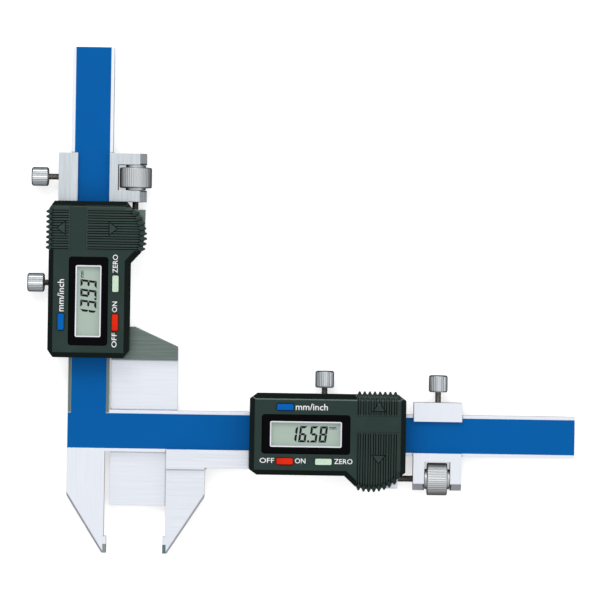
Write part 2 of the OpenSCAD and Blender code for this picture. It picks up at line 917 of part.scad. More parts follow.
module lcd_frame() {
    color("white")
        translate([display_x, display_y, 0])
            difference() {
                union() {
                    box([-holder_l / 2, -holder_w / 2, lcd_top - lcd_t],
                        [holder_l / 2, holder_w / 2, ledge_z]);
                    round_block(glass_l + 2 * rim_w, glass_w + 2 * rim_w, rim_r, ledge_z - cut / 4,
                        bezel_top + seat_gap);
                }
                box([-glass_l / 2, -glass_w / 2, 0], [glass_l / 2, glass_w / 2, far]);
                box([-glass_l / 2 - lcd_over - lcd_gap, -glass_w / 2 - lcd_over - lcd_gap, 0],
                    [glass_l / 2 + lcd_over + lcd_gap, glass_w / 2 + lcd_over + lcd_gap, lcd_top]);
            }
}

module lcd() {
    color("darkseagreen")
        translate([display_x, display_y, 0])
            box([-glass_l / 2 - lcd_over, -glass_w / 2 - lcd_over, lcd_top - lcd_t],
                [glass_l / 2 + lcd_over, glass_w / 2 + lcd_over, lcd_top]);
}

module lcd_connector() {
    color("hotpink")
        translate([display_x, display_y, 0])
            box([connector_in - glass_l / 2, -glass_w / 2 - groove_end, board_z + board_t],
                [glass_l / 2 - connector_in, connector_w - glass_w / 2 - groove_end, lcd_top - lcd_t]);
}

module circuit_board() {
    color("seagreen")
        box([board_x1, -board_half, board_z], [board_x2, board_half, board_z + board_t]);
}

module button_cell() {
    color("silver")
        translate([cell_x, cell_y, skirt_z + contact_t]) {
            cylinder(h = cell_h - cell_step, d = cell_d);
            cylinder(h = cell_h, d = cell_d - cell_pole);
        }
}

module battery_contacts() {
    color("gold")
        translate([cell_x, cell_y, skirt_z]) {
            box([-contact_w / 2, contact_in - cell_d / 2, 0],
                [contact_w / 2, cell_d / 2 - contact_in, contact_t]);
            box([-contact_w / 2, cell_d / 2 + seat_gap, 0],
                [contact_w / 2, cell_d / 2 + contact_t + 3 * seat_gap, cell_h - contact_low]);
        }
}

// Buttons

module at_unit_button() {
    translate([button_x1, button_y1, 0])
        children();
}

module at_power_button() {
    translate([button_x1, -button_y2, 0])
        children();
}

module at_zero_button() {
    translate([button_x2, -button_y2, 0])
        children();
}

module at_buttons() {
    at_unit_button()
        children();
    at_power_button()
        children();
    at_zero_button()
        children();
}

// A button with the flange that holds it behind the front wall and the stem to its switch.
module button(c) {
    flange_top = front_z - seat_gap;
    stem_z = board_z + board_t + button_travel + fit_gap;
    color(c) {
        round_block(button_l, button_w, button_r, flange_top - flange_t / 2, unit_top + button_up);
        box([-button_l / 2 - flange_over, -button_w / 2 - flange_over, flange_top - flange_t],
            [button_l / 2 + flange_over, button_w / 2 + flange_over, flange_top]);
        translate([0, 0, stem_z])
            cylinder(h = flange_top - flange_t / 2 - stem_z, d = stem_d);
    }
}

// Clamp screws and fine adjustment

// A knurled clamp screw along y, its tip at tip and its head from head_y outwards.
module thumb_screw(tip, head_y) {
    color("silver") {
        rod_y(tip, head_y + cut, clamp_d);
        translate([0, head_y, 0])
            rotate([-90, 0, 0])
                knurled(head_l, head_d, head_teeth, head_chamfer);
    }
}

module pad(y0) {
    color("goldenrod")
        rod_y(y0, y0 + pad_l, clamp_d);
}

module lock_screw() {
    translate([lock_x, 0, 0])
        thumb_screw(gib_out + pad_gap + pad_l, slider_half + neck_l);
}

module lock_pad() {
    translate([lock_x, 0, 0])
        pad(gib_out + pad_gap);
}

module clamp_screw() {
    translate([carriage_l / 2, 0, 0])
        thumb_screw(beam_half + pad_gap + pad_l, beam_half + carriage_up + neck_l);
}

module clamp_pad() {
    translate([carriage_l / 2, 0, 0])
        pad(beam_half + pad_gap);
}

module fine_screw() {
    color("slategray")
        translate([0, fine_y, 0])
            rod_x(slider_end - fine_seat, slider_end - fine_seat + fine_l, fine_d);
}

// The clamp carriage with its lips and the fork for the knurled nut, from x = 0.
module carriage() {
    out = fine_y - fork_half;
    color("gainsboro")
    difference() {
        bar(0, carriage_l, [
            [beam_half + carriage_up, back_z], [beam_half + carriage_up, carriage_z],
            [out + fork_bevel, carriage_z], [out, carriage_z - fork_bevel],
            [out, back_z + fork_bevel], [out + fork_bevel, back_z],
        ]);
        box([-cut, -beam_half - run_gap, -lip_z], [far, beam_half + run_gap, lip_z]);
        box([-cut, -window_half, 0], [far, beam_half - carriage_lip, far]);
        box([arm_l, -far, -far], [arm_l + slot_w, -beam_half - slot_off, far]);
        translate([0, fine_y, 0])
            rod_x(-cut, carriage_l + cut, fine_d + 2 * fork_bore);
        translate([carriage_l / 2, 0, 0])
            rod_y(0, far, clamp_d + 2 * clamp_gap);
    }
}

module fine_nut() {
    collar = slot_w / 2 - nut_play;
    color("silver")
        translate([carriage_l / 2, fine_y, 0])
            difference() {
                union() {
                    rotate([0, 90, 0])
                        translate([0, 0, -nut_l / 2])
                            knurled(nut_l, nut_d, nut_teeth, nut_chamfer);
                    rod_x(-collar, collar, collar_d);
                }
                rod_x(-far, far, fine_d + 2 * nut_bore);
            }
}

// Nodes

main_frame();
fixed_jaw_tip();
horizontal_scale();
vertical_scale();
horizontal_label();
vertical_label();
end_stop_screws();

jaw_slider();
moving_jaw_tip();
on_h(h_unit) gib();  // jaw_gib
on_h(h_unit) gib_screws();  // jaw_gib_screws
on_h(h_unit) housing();  // jaw_housing
on_h(h_unit) bezel();  // jaw_bezel
on_h(h_unit) lcd_frame();  // jaw_lcd_frame
on_h(h_unit) lcd();  // jaw_lcd
on_h(h_unit) lcd_connector();  // jaw_lcd_connector
on_h(h_unit) circuit_board();  // jaw_circuit_board
on_h(h_unit) button_cell();  // jaw_button_cell
on_h(h_unit) battery_contacts();  // jaw_battery_contacts
on_h(h_unit) battery_cover();  // jaw_battery_cover
on_h(h_unit) port_cover();  // jaw_port_cover
on_h(h_unit) at_unit_button() button("royalblue");  // jaw_unit_button
on_h(h_unit) at_power_button() button("crimson");  // jaw_power_button
on_h(h_unit) at_zero_button() button("honeydew");  // jaw_zero_button
on_h(h_unit) housing_screws();  // jaw_housing_screws
on_h(h_unit) lock_screw();  // jaw_lock_screw
on_h(h_unit) lock_pad();  // jaw_lock_pad
on_h(h_unit) fine_screw();  // jaw_fine_screw
on_h(h_unit + h_carriage) carriage();  // jaw_carriage
on_h(h_unit + h_carriage) fine_nut();  // jaw_fine_nut
on_h(h_unit + h_carriage) clamp_screw();  // jaw_clamp_screw
on_h(h_unit + h_carriage) clamp_pad();  // jaw_clamp_pad

tongue_slider();
on_v(v_unit) gib();  // tongue_gib
on_v(v_unit) gib_screws();  // tongue_gib_screws
on_v(v_unit) housing();  // tongue_housing
on_v(v_unit) bezel();  // tongue_bezel
on_v(v_unit) lcd_frame();  // tongue_lcd_frame
on_v(v_unit) lcd();  // tongue_lcd
on_v(v_unit) lcd_connector();  // tongue_lcd_connector
on_v(v_unit) circuit_board();  // tongue_circuit_board
on_v(v_unit) button_cell();  // tongue_button_cell
on_v(v_unit) battery_contacts();  // tongue_battery_contacts
on_v(v_unit) battery_cover();  // tongue_battery_cover
on_v(v_unit) port_cover();  // tongue_port_cover
on_v(v_unit) at_unit_button() button("royalblue");  // tongue_unit_button
on_v(v_unit) at_power_button() button("crimson");  // tongue_power_button
on_v(v_unit) at_zero_button() button("honeydew");  // tongue_zero_button
on_v(v_unit) housing_screws();  // tongue_housing_screws
on_v(v_unit) lock_screw();  // tongue_lock_screw
on_v(v_unit) lock_pad();  // tongue_lock_pad
on_v(v_unit) fine_screw();  // tongue_fine_screw
on_v(v_unit + v_carriage) carriage();  // tongue_carriage
on_v(v_unit + v_carriage) fine_nut();  // tongue_fine_nut
on_v(v_unit + v_carriage) clamp_screw();  // tongue_clamp_screw
on_v(v_unit + v_carriage) clamp_pad();  // tongue_clamp_pad
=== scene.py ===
"""Finishes, threads, knurls, readings and lettering of a digital gear tooth caliper, and its studio."""

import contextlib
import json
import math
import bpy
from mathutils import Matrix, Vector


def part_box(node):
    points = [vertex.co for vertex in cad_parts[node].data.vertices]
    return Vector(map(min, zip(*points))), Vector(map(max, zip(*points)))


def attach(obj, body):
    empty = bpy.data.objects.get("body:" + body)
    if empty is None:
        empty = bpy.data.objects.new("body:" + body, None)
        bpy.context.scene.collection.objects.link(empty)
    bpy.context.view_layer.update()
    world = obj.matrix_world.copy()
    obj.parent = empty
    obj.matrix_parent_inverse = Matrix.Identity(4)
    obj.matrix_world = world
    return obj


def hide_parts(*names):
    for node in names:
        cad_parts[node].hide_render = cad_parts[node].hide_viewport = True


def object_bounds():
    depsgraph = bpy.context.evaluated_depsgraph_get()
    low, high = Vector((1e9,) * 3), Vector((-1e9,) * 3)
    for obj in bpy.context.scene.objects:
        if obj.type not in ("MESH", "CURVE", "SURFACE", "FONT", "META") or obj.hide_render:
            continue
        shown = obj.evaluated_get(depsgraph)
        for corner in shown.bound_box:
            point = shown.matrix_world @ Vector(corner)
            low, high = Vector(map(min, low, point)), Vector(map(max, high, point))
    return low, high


bl_info = {
    "name": "Gear Tooth Caliper",
    "version": (1, 0, 0),
    "blender": (4, 5, 0),
    "location": "3D View > Sidebar > Caliper",
    "description": "Finishes and fine pieces of a digital gear tooth caliper",
    "category": "Add Mesh",
}

import bmesh
import bpy
from mathutils import Matrix, Vector

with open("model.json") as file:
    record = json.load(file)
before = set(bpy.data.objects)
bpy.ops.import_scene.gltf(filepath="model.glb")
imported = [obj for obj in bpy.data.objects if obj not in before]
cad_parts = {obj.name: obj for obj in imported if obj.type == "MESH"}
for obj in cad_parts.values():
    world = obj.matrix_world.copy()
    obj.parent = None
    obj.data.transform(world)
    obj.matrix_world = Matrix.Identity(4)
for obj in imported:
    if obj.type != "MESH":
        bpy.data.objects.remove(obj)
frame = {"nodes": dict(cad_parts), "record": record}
CAD_BOX = [list(corner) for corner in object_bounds()]
SIDES = ("jaw", "tongue")
READINGS = {"jaw": "16.58", "tongue": "13.93"}
MM = 0.001
FAR = 1.0
FAR_LOW, FAR_HIGH = (-FAR,) * 3, (FAR,) * 3
TOUCH = 1e-7  # points closer than this are one

# Stretch of the ground streaks on object coordinates: low along them, high across
ALONG_X = (60.0, 2600.0, 2600.0)
ALONG_Y = (2600.0, 60.0, 2600.0)
CLAMP_ALONG_Y = (1500.0, 60.0, 1500.0)
EVEN = (1400.0, 1400.0, 1400.0)

# Where the finishes and the painted shade change on a piece
SKIN = 0.3 * MM  # thickness of the steel's front that gets painted dark reflection
FACE_DEPTH = 0.05 * MM  # from a front down to where its sides begin
FORK_GAP = 0.5 * MM  # from the nut to the edge of the painted shade on the fork's walls
# colour of the painted shade on the fork's walls
FORK_SHADE = (0.01, 0.012, 0.01)
BORDER = 1.05 * MM  # steel border beside the label
UNDER_HOUSING = 10 * MM  # how far the border's painted dark reflection goes on under the vertical housing
GLEAM_BAND = 3 * MM  # band along a housing's upper edge that catches the light
END_BEVEL = 1.3 * MM  # reach of the bevel at the covers' free end

# How the screws stand, and how fine their grids are
PAD_GAP = 0.02 * MM  # from the pad to the shank's tip
HEAD_SEAT = 0.3 * MM  # how far the shank goes into the head
THREAD_COLUMNS = 25
HEAD_ROWS, SHANK_ROWS, ROD_ROWS, NUT_ROWS = 69, 96, 331, 76

# Studio: the lamps' places from the picture's middle, the floor's tones, the world's strengths
SENSOR = 36.0
FLOOR_REACH = 3.0
FLOOR_GAP = 0.02 * MM
KEY_PLACE = (-0.15, 0.6, 0.85)
FILL_PLACE = (0.7, -0.2, 0.6)
FLOOR_LIT, FLOOR_MIRRORED, FLOOR_GLOW = 0.8, 0.04, 0.55
HORIZON, ZENITH = 0.38, 0.95


# Places

def unit_matrix(side):
    """Matrix from a slider's own beam, x along the beam and y to its clamp screws, to the row frame."""
    low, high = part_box(side + "_housing")
    if side == "jaw":
        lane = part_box("horizontal_label")
        return Matrix.Translation((low.x, (lane[0].y + lane[1].y) / 2, 0))
    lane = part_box("vertical_label")
    middle = (lane[0].x + lane[1].x) / 2
    return Matrix.Translation((middle, low.y, 0)) @ Matrix.Rotation(math.pi / 2, 4, "Z")


def body_of(node):
    """Name of the CAD body that a node rides on."""
    for body, members in frame["record"]["behaviour"]["bodies"].items():
        if node in members:
            return body
    raise KeyError(node)


# Sizes and colours

def length(name, description, default):
    """A length property."""
    return bpy.props.FloatProperty(
        name=name, description=description, default=default, unit="LENGTH", precision=6, min=0.0)


def colour(name, description, rgb):
    """A colour property whose default is given as 0 to 255 display values."""
    return bpy.props.FloatVectorProperty(
        name=name, description=description, size=3, subtype="COLOR", min=0.0, max=1.0,
        default=tuple(linear(v / 255) for v in rgb))


def linear(v):
    """A display value from 0 to 1 as a share of light."""
    return v / 12.92 if v <= 0.04045 else ((v + 0.055) / 1.055) ** 2.4


class CaliperColours(bpy.types.PropertyGroup):
    """Colours of the pieces and of the print"""
    steel: colour("Steel", "Fine-ground steel of beams, jaws and tongue", (236, 240, 249))
    # The shoulder colour is painted dark reflection on the vertical slider's front and on the frame's
    # border below the display
    shoulder: colour("Shoulder", "Painted dark reflection on the vertical slider's front", (105, 121, 114))
    clamp_steel: colour("Clamp steel", "Steel of the clamp carriages", (218, 226, 232))
    knurl: colour("Thumb screws", "Plated heads of the thumb screws", (194, 200, 204))
    nut: colour("Fine nuts", "Plated knurled nuts", (196, 199, 201))
    shank: colour("Screw shanks", "Threaded shanks of the thumb screws", (150, 144, 136))
    tip_fixed: colour("Fixed tip", "Hard tip of the fixed jaw", (150, 158, 150))
    tip_moving: colour("Moving tip", "Hard tip of the moving jaw", (104, 127, 132))
    thread: colour("Thread", "Oiled thin screws", (108, 106, 100))
    brass: colour("Brass", "Gibs and pads", (184, 148, 84))
    housing: colour("Housing", "Moulded display housing", (43, 60, 56))
    cover: colour("Covers", "Ribbed sliding covers", (50, 65, 61))
    bezel: colour("Bezel", "Black bezel round the display", (6, 5, 7))
    rim: colour("Rim", "White rim round the glass", (240, 241, 250))
    glass: colour("Display", "Grey display behind the digits", (170, 186, 175))
    digits: colour("Digits", "Dark segments of the reading", (24, 28, 34))
    letters: colour("Lettering", "Printed words beside the buttons", (244, 245, 246))
    gleam: colour("Gleam", "Light on the upper edges of the housings", (132, 148, 140))
    label: colour("Label", "Blue film along both beams", (0, 92, 165))
    unit_button: colour("Unit button", "Button between millimetres and inches", (4, 100, 186))
    power_button: colour("Power button", "Button that switches off and on", (222, 43, 20))
    zero_button: colour("Zero button", "Button that sets the reading to zero", (209, 231, 208))
    board: colour("Boards", "Lacquered scale and circuit boards", (38, 92, 62))
    connector: colour("Connector", "Soft strip between display and board", (205, 120, 128))


class CaliperSizes(bpy.types.PropertyGroup):
    """Sizes of what the scene makes"""
    pitch: length("Thread pitch", "Pitch of all thin screws", 0.4 * MM)
    thread_depth: length("Thread depth", "Depth of the thread", 0.2 * MM)
    head_teeth: bpy.props.IntProperty(
        name="Head teeth", description="Knurl teeth of a thumb screw", default=30, min=12)
    nut_teeth: bpy.props.IntProperty(
        name="Nut teeth", description="Knurl teeth of a fine nut", default=46, min=12)
    knurl_depth: length("Knurl depth", "Depth of the knurl", 0.1 * MM)
    head_length: length("Head length", "Length of a thumb screw's head", 5.1 * MM)
    shank_radius: length("Shank radius", "Outer radius of a thumb screw's thread", 0.95 * MM)
    nut_width: length("Nut width", "Width of a fine nut's knurled middle", 5.9 * MM)
    collar_radius: length("Collar radius", "Radius of a fine nut's collars", 2.95 * MM)
    knob_chamfer: length("Knob chamfer", "Chamfer at both ends of a thumb screw's head", 0.45 * MM)
    nut_chamfer: length("Nut chamfer", "Chamfer at both ends of a fine nut", 0.25 * MM)
    edge: length("Soft edge", "Radius to which the bezels' edges are rounded", 0.12 * MM)
    button_edge: length("Button edge", "Radius to which the buttons' edges are rounded", 0.28 * MM)
    digit_height: length("Digit height", "Height of the reading's digits", 4.75 * MM)
    digit_width: length("Digit width", "Width of a digit without its slant", 2.22 * MM)
    stroke: length("Segment width", "Width of a digit's segments", 0.66 * MM)
    segment_gap: length("Segment gap", "Gap between a digit's segments", 0.06 * MM)
    slant: bpy.props.FloatProperty(
        name="Digit slant", description="Sideways lean of the digits", default=0.12, min=0.0)
    ink: length("Ink", "Thickness of printed words and digits", 0.02 * MM)
    point: length("Point size", "Width and height of the reading's decimal point", 0.62 * MM)
    weight: bpy.props.FloatProperty(
        name="Letter weight", description="Thickening of printed letters, as a share of their height",
        default=0.012, min=0.0, max=0.05)


class CaliperStudio(bpy.types.PropertyGroup):
    """Camera and lamps"""
    camera_height: length("Camera height", "Height of the camera above the beams", 1.2)
    view_width: length("View width", "Width that the picture covers at the beams", 0.17647)
    roll: bpy.props.FloatProperty(
        name="Roll", description="Turn of the camera about its line of sight",
        default=math.radians(0.9), subtype="ANGLE")
    middle: bpy.props.FloatVectorProperty(
        name="Picture middle", description="Point under the camera", size=3,
        default=(0.05594, 0.07514, 0.0), subtype="TRANSLATION")
    lamp_size: length("Lamp size", "Width of both soft lights", 0.5)
    key_power: bpy.props.FloatProperty(
        name="Key light", description="Power of the soft light from the upper side", default=2.8,
        min=0.0, unit="POWER")
    fill_power: bpy.props.FloatProperty(
        name="Fill light", description="Power of the weaker light from the right", default=0.8,
        min=0.0, unit="POWER")


def colours():
    return bpy.context.scene.caliper_colours


def sizes():
    return bpy.context.scene.caliper_sizes


# Node trees

class Nodes:
    """A node tree under construction."""

    def __init__(self, tree):
        self.tree = tree

    def put(self, socket, value):
        """Feeds a socket from another one, or gives it a value."""
        if isinstance(value, bpy.types.NodeSocket):
            self.tree.links.new(value, socket)
        else:
            socket.default_value = value

    def node(self, kind, inputs=(), **attributes):
        """A new node with its attributes, and its inputs by name or number."""
        made = self.tree.nodes.new(kind)
        for key, value in attributes.items():
            setattr(made, key, value)
        for key, value in dict(inputs).items():
            self.put(made.inputs[key], value)
        return made

    def math(self, operation, a, b=0.0, c=0.0, **attributes):
        made = self.node("ShaderNodeMath", {0: a, 1: b, 2: c}, operation=operation, **attributes)
        return made.outputs[0]

    def vector(self, operation, a, b):
        """The outputs of a vector operation."""
        return self.node("ShaderNodeVectorMath", {0: a, 1: b}, operation=operation).outputs

    def split(self, vector):
        return self.node("ShaderNodeSeparateXYZ", {0: vector}).outputs

    def ranged(self, source, low, high, start=0.0, end=1.0):
        """Turns start to end into low to high, and holds what lies outside."""
        made = self.node("ShaderNodeMapRange", {
            "Value": source, "From Min": start, "From Max": end, "To Min": low, "To Max": high})
        return made.outputs["Result"]

    def place(self):
        """Object coordinates."""
        return self.node("ShaderNodeTexCoord").outputs["Object"]

    def noise(self, place, scale, detail, roughness=0.5):
        made = self.node("ShaderNodeTexNoise", {
            "Vector": place, "Scale": scale, "Detail": detail, "Roughness": roughness})
        return made.outputs["Fac"]


class Group(Nodes):
    """A node group under construction, with named inputs and outputs."""

    def __init__(self, name, kind, inputs, outputs):
        super().__init__(bpy.data.node_groups.new(name, kind + "NodeTree"))
        for label, (socket, default) in inputs.items():
            made = self.tree.interface.new_socket(
                name=label, in_out="INPUT", socket_type="NodeSocket" + socket)
            if default is not None:
                made.default_value = default
        for label, socket in outputs.items():
            self.tree.interface.new_socket(
                name=label, in_out="OUTPUT", socket_type="NodeSocket" + socket)
        self.given = self.node("NodeGroupInput").outputs
        self.out = self.node("NodeGroupOutput").inputs

    def done(self, **sources):
        """Feeds the group's outputs and gives its tree."""
        for label, source in sources.items():
            self.put(self.out[label], source)
        return self.tree


def shared(name):
    """Lets a function build its node group at the first call, and find it by its name after that."""
    def wrap(build):
        def group():
            return bpy.data.node_groups.get(name) or build(name)
        group.__doc__ = build.__doc__
        return group
    return wrap


# Shader node groups

@shared("Ground metal")
def grain_group(name):
    """Long streaks of ground metal and slow changes of tone, on object coordinates."""
    group = Group(
        name, "Shader", {"Stretch": ("Vector", ALONG_X), "Patches": ("Float", 90.0)},
        {"Streaks": "Float", "Tone": "Float", "Height": "Float"})
    place = group.place()
    stretched = group.vector("MULTIPLY", place, group.given["Stretch"])[0]
    streaks = group.noise(stretched, 1.0, 4.0, 0.65)
    fine = group.noise(stretched, 3.1, 2.0)
    return group.done(
        Streaks=streaks, Tone=group.noise(place, group.given["Patches"], 3.0),
        Height=group.math("MULTIPLY_ADD", fine, 0.35, streaks))


# Its mask carries painted highlights and painted shade along edges; its normal rounds the edges'
# shading.
@shared("Rounded edges with painted light and shade")
def edge_group(name):
    """A mask along a piece's edges, from the rounded normal against the plain one.

    Upper is 1 where the rounded normal leans a little towards +Y, as on the rounding of a bevel."""
    group = Group(
        name, "Shader", {"Radius": ("Float", 0.2 * MM)},
        {"Mask": "Float", "Upper": "Float", "Normal": "Vector"})
    bevel = group.node("ShaderNodeBevel", {"Radius": group.given["Radius"]}, samples=6)
    rounded = bevel.outputs["Normal"]
    plain = group.node("ShaderNodeNewGeometry").outputs["Normal"]
    likeness = group.vector("DOT_PRODUCT", rounded, plain)["Value"]
    lean = group.split(rounded)["Y"]
    return group.done(
        Mask=group.ranged(likeness, 0.0, 1.0, 0.995, 0.8),
        Upper=group.math(
            "MULTIPLY", group.ranged(lean, 0.0, 1.0, 0.04, 0.25),
            group.ranged(lean, 0.0, 1.0, 0.68, 0.45)),
        Normal=rounded)


# Its mask carries painted shade in grooves, inner corners and gaps
@shared("Crevices")
def crevice_group(name):
    """A mask in grooves and gaps narrower than about the given distance."""
    group = Group(name, "Shader", {"Distance": ("Float", 0.5 * MM)}, {"Mask": "Float"})
    around = group.node(
        "ShaderNodeAmbientOcclusion", {"Distance": group.given["Distance"]}, samples=8)
    return group.done(Mask=group.ranged(around.outputs["AO"], 0.0, 1.0, 0.92, 0.62))


@shared("Inside a box")
def area_group(name):
    """A mask that is 1 inside a box given by two corners, on object coordinates."""
    group = Group(
        name, "Shader",
        {"Low": ("Vector", FAR_LOW), "High": ("Vector", FAR_HIGH),
         "Blend": ("Float", 0.04 * MM)},
        {"Mask": "Float"})
    place = group.place()
    depths = group.split(group.vector(
        "MINIMUM", group.vector("SUBTRACT", place, group.given["Low"])[0],
        group.vector("SUBTRACT", group.given["High"], place)[0])[0])
    least = group.math("MINIMUM", group.math("MINIMUM", depths["X"], depths["Y"]), depths["Z"])
    return group.done(Mask=group.math("DIVIDE", least, group.given["Blend"], use_clamp=True))


@shared("Moulded texture")
def moulded_group(name):
    """The fine spark-eroded texture of moulded plastic and its slow handling marks."""
    group = Group(
        name, "Shader", {"Grain": ("Float", 4200.0), "Marks": ("Float", 130.0)},
        {"Height": "Float", "Tone": "Float", "Wear": "Float"})
    place = group.place()
    cells = group.node(
        "ShaderNodeTexVoronoi", {"Vector": place, "Scale": group.given["Grain"]}, feature="SMOOTH_F1")
    return group.done(
        Height=cells.outputs["Distance"], Tone=group.noise(place, group.given["Grain"], 3.0),
        Wear=group.noise(place, group.given["Marks"], 4.0))


# Materials

class Finish(Nodes):
    """A material under construction: one Principled BSDF with the groups that feed it."""

    def __init__(self, name, rgb, roughness, metallic=0.0, specular=0.5):
        self.material = bpy.data.materials.new(name)
        self.material.use_nodes = True
        super().__init__(self.material.node_tree)
        self.shader = self.tree.nodes["Principled BSDF"].inputs
        self.colour = (*rgb, 1.0)
        for socket, value in (("Base Color", self.colour), ("Roughness", roughness),
                              ("Metallic", metallic), ("Specular IOR Level", specular)):
            self.shader[socket].default_value = value

    def group(self, tree, **values):
        """Places a node group with its own values and gives its outputs."""
        return self.node("ShaderNodeGroup", values, node_tree=tree).outputs

    def tint(self, mask, rgb):
        """Turns the colour towards rgb where mask is 1."""
        mixed = self.node(
            "ShaderNodeMix", {"Factor": mask, "A": self.colour, "B": (*rgb, 1.0)}, data_type="RGBA")
        self.colour = mixed.outputs["Result"]
        self.put(self.shader["Base Color"], self.colour)

    def rough(self, source):
        self.put(self.shader["Roughness"], source)

    def bump(self, height, distance, strength, normal):
        """Bumps on top of the edges' rounded normal."""
        bumped = self.node("ShaderNodeBump", {
            "Height": height, "Distance": distance, "Strength": strength, "Normal": normal})
        self.put(self.shader["Normal"], bumped.outputs["Normal"])


def scaled(rgb, k):
    """A colour made darker or lighter."""
    return tuple(min(1.0, v * k) for v in rgb)


def ground_steel(name, rgb, stretch, roughness=0.3, contrast=0.14, height=0.004 * MM,
                 edge_radius=0.14 * MM, edge_shade=0.85, corners=0.0, metallic=1.0,
                 shaded=None, shaded_low=FAR_LOW, shaded_high=FAR_HIGH):
    """Ground and lapped steel with streaks along one direction and broken edges.

    Inner corners are darkened by the share corners. With a colour dull, what lies between the two
    corners of a box is of that colour instead."""
    finish = Finish(name, rgb, roughness, metallic)
    grain = finish.group(grain_group(), Stretch=stretch)
    edges = finish.group(edge_group(), Radius=edge_radius)
    streaks = finish.ranged(grain["Streaks"], 0.0, 1.0, 0.3, 0.72)
    finish.tint(streaks, scaled(rgb, 1.0 - contrast))
    finish.tint(finish.ranged(grain["Tone"], 0.0, 0.5, 0.42, 0.8), scaled(rgb, 1.0 - contrast * 0.7))
    # Painted dark tone inside the box (shade in a fork, dark reflection on the frame and slider), with
    # darker streaks
    if shaded:
        area = finish.group(area_group(), Low=shaded_low, High=shaded_high, Blend=SKIN)["Mask"]
        finish.tint(finish.ranged(area, 0.0, 0.94), shaded)
        finish.tint(finish.math("MULTIPLY", area, streaks), scaled(shaded, 0.78))
    # Painted shade along the edges
    finish.tint(finish.ranged(edges["Mask"], 0.0, 0.7), scaled(rgb, edge_shade))
    # Painted shade in inner corners and narrow gaps
    if corners:
        crevices = finish.group(crevice_group(), Distance=0.6 * MM)
        finish.tint(finish.ranged(crevices["Mask"], 0.0, corners), scaled(rgb, 0.05))
    finish.rough(finish.ranged(grain["Streaks"], roughness - 0.06, roughness + 0.12))
    finish.bump(grain["Height"], height, 0.6, edges["Normal"])
    return finish.material


def clamp_steel(side, rgb, stretch, contrast):
    """Steel of a clamp carriage, with dark walls in the fork round the nut."""
    low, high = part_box(side + "_fine_nut")
    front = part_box(side + "_carriage")[1].z - FACE_DEPTH
    gap = Vector((FORK_GAP,) * 3)
    return ground_steel(
        "Clamp steel of the " + side + " side", rgb, stretch, 0.28, contrast, metallic=0.85,
        shaded=FORK_SHADE, shaded_low=low - gap,
        shaded_high=(high.x + FORK_GAP, high.y + FORK_GAP, front))


def moulding(name, rgb, roughness, grain=4200.0, depth=0.012 * MM, edge_light=1.7,
             edge_radius=0.2 * MM, specular=0.1, sides=None, side_shade=0.22, gleam=0.0,
             gleam_from=0.0, grooves=0.0):
    """Moulded plastic with spark-eroded texture, handling marks and paler edges.

    Sides are the two corners of a box in which the faces look darker by side_shade; gleam is the share
    of light on edges towards +Y above gleam_from, and grooves how far the grooves are darkened."""
    finish = Finish(name, rgb, roughness, specular=specular)
    texture = finish.group(moulded_group(), Grain=grain)
    edges = finish.group(edge_group(), Radius=edge_radius)
    finish.tint(finish.ranged(texture["Tone"], 0.0, 1.0, 0.35, 0.7), scaled(rgb, 0.78))
    finish.tint(finish.ranged(texture["Wear"], 0.0, 0.5, 0.5, 0.75), scaled(rgb, 1.2))
    # Painted shade on the faces inside the box
    if sides:
        area = finish.group(area_group(), Low=sides[0], High=sides[1], Blend=0.1 * MM)
        finish.tint(area["Mask"], scaled(rgb, side_shade))
    # Painted shade in the grooves
    if grooves:
        crevices = finish.group(crevice_group(), Distance=0.5 * MM)
        finish.tint(finish.ranged(crevices["Mask"], 0.0, grooves), scaled(rgb, 0.03))
    # Painted highlight along the edges, painted shade where edge_light is below 1
    finish.tint(finish.ranged(edges["Mask"], 0.0, 0.5), scaled(rgb, edge_light))
    # Painted highlight on edges towards +Y
    if gleam:
        upper = finish.group(edge_group(), Radius=0.5 * MM)["Upper"]
        area = finish.group(area_group(), Low=(-FAR, gleam_from, -FAR), Blend=0.1 * MM)
        there = finish.math("MULTIPLY", area["Mask"], upper)
        finish.tint(finish.ranged(there, 0.0, gleam), colours().gleam)
    finish.rough(finish.ranged(texture["Wear"], roughness + 0.08, roughness - 0.08))
    finish.bump(texture["Height"], depth, 0.5, edges["Normal"])
    return finish.material


def housing_plastic(side, front, gleam):
    """Plastic of a display housing, darker below its face."""
    return moulding(
        "Moulded housing of the " + side + " side", colours().housing, 0.46,
        sides=(FAR_LOW, (FAR, FAR, front)), gleam=gleam,
        gleam_from=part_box(side + "_housing")[1].y - GLEAM_BAND)


def cover_plastic(side, tone, onward, front, gleam):
    """Plastic of the ribbed covers, darker on the bevel at their free end and in the grooves."""
    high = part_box(side + "_housing")[1]
    start = high.dot(onward) - END_BEVEL
    corner = tuple(start if share else -FAR for share in onward)
    return moulding(
        "Ribbed covers of the " + side + " side", scaled(colours().cover, tone), 0.5, 5200.0,
        0.008 * MM, 1.8, 0.12 * MM, sides=(corner, (FAR, FAR, front)), side_shade=0.28, gleam=gleam,
        gleam_from=high.y - GLEAM_BAND, grooves=1.0)


def button_plastic(name, rgb, edge_light):
    """Smooth plastic of a button."""
    return moulding(name, rgb, 0.36, 5200.0, 0.002 * MM, edge_light, specular=0.04)


def printed(name, rgb, roughness):
    """Smooth printed film or ink of one even colour, with faint handling marks."""
    finish = Finish(name, rgb, roughness, specular=0.05)
    wear = finish.group(moulded_group(), Marks=60.0)["Wear"]
    finish.tint(finish.ranged(wear, 0.0, 0.25, 0.45, 0.7), scaled(rgb, 1.1))
    finish.rough(finish.ranged(wear, roughness + 0.05, roughness - 0.05))
    return finish.material


def plated(name, rgb, roughness):
    """Plated steel with hardly any grain."""
    return ground_steel(name, rgb, EVEN, roughness, 0.04, 0.001 * MM, 0.04 * MM)


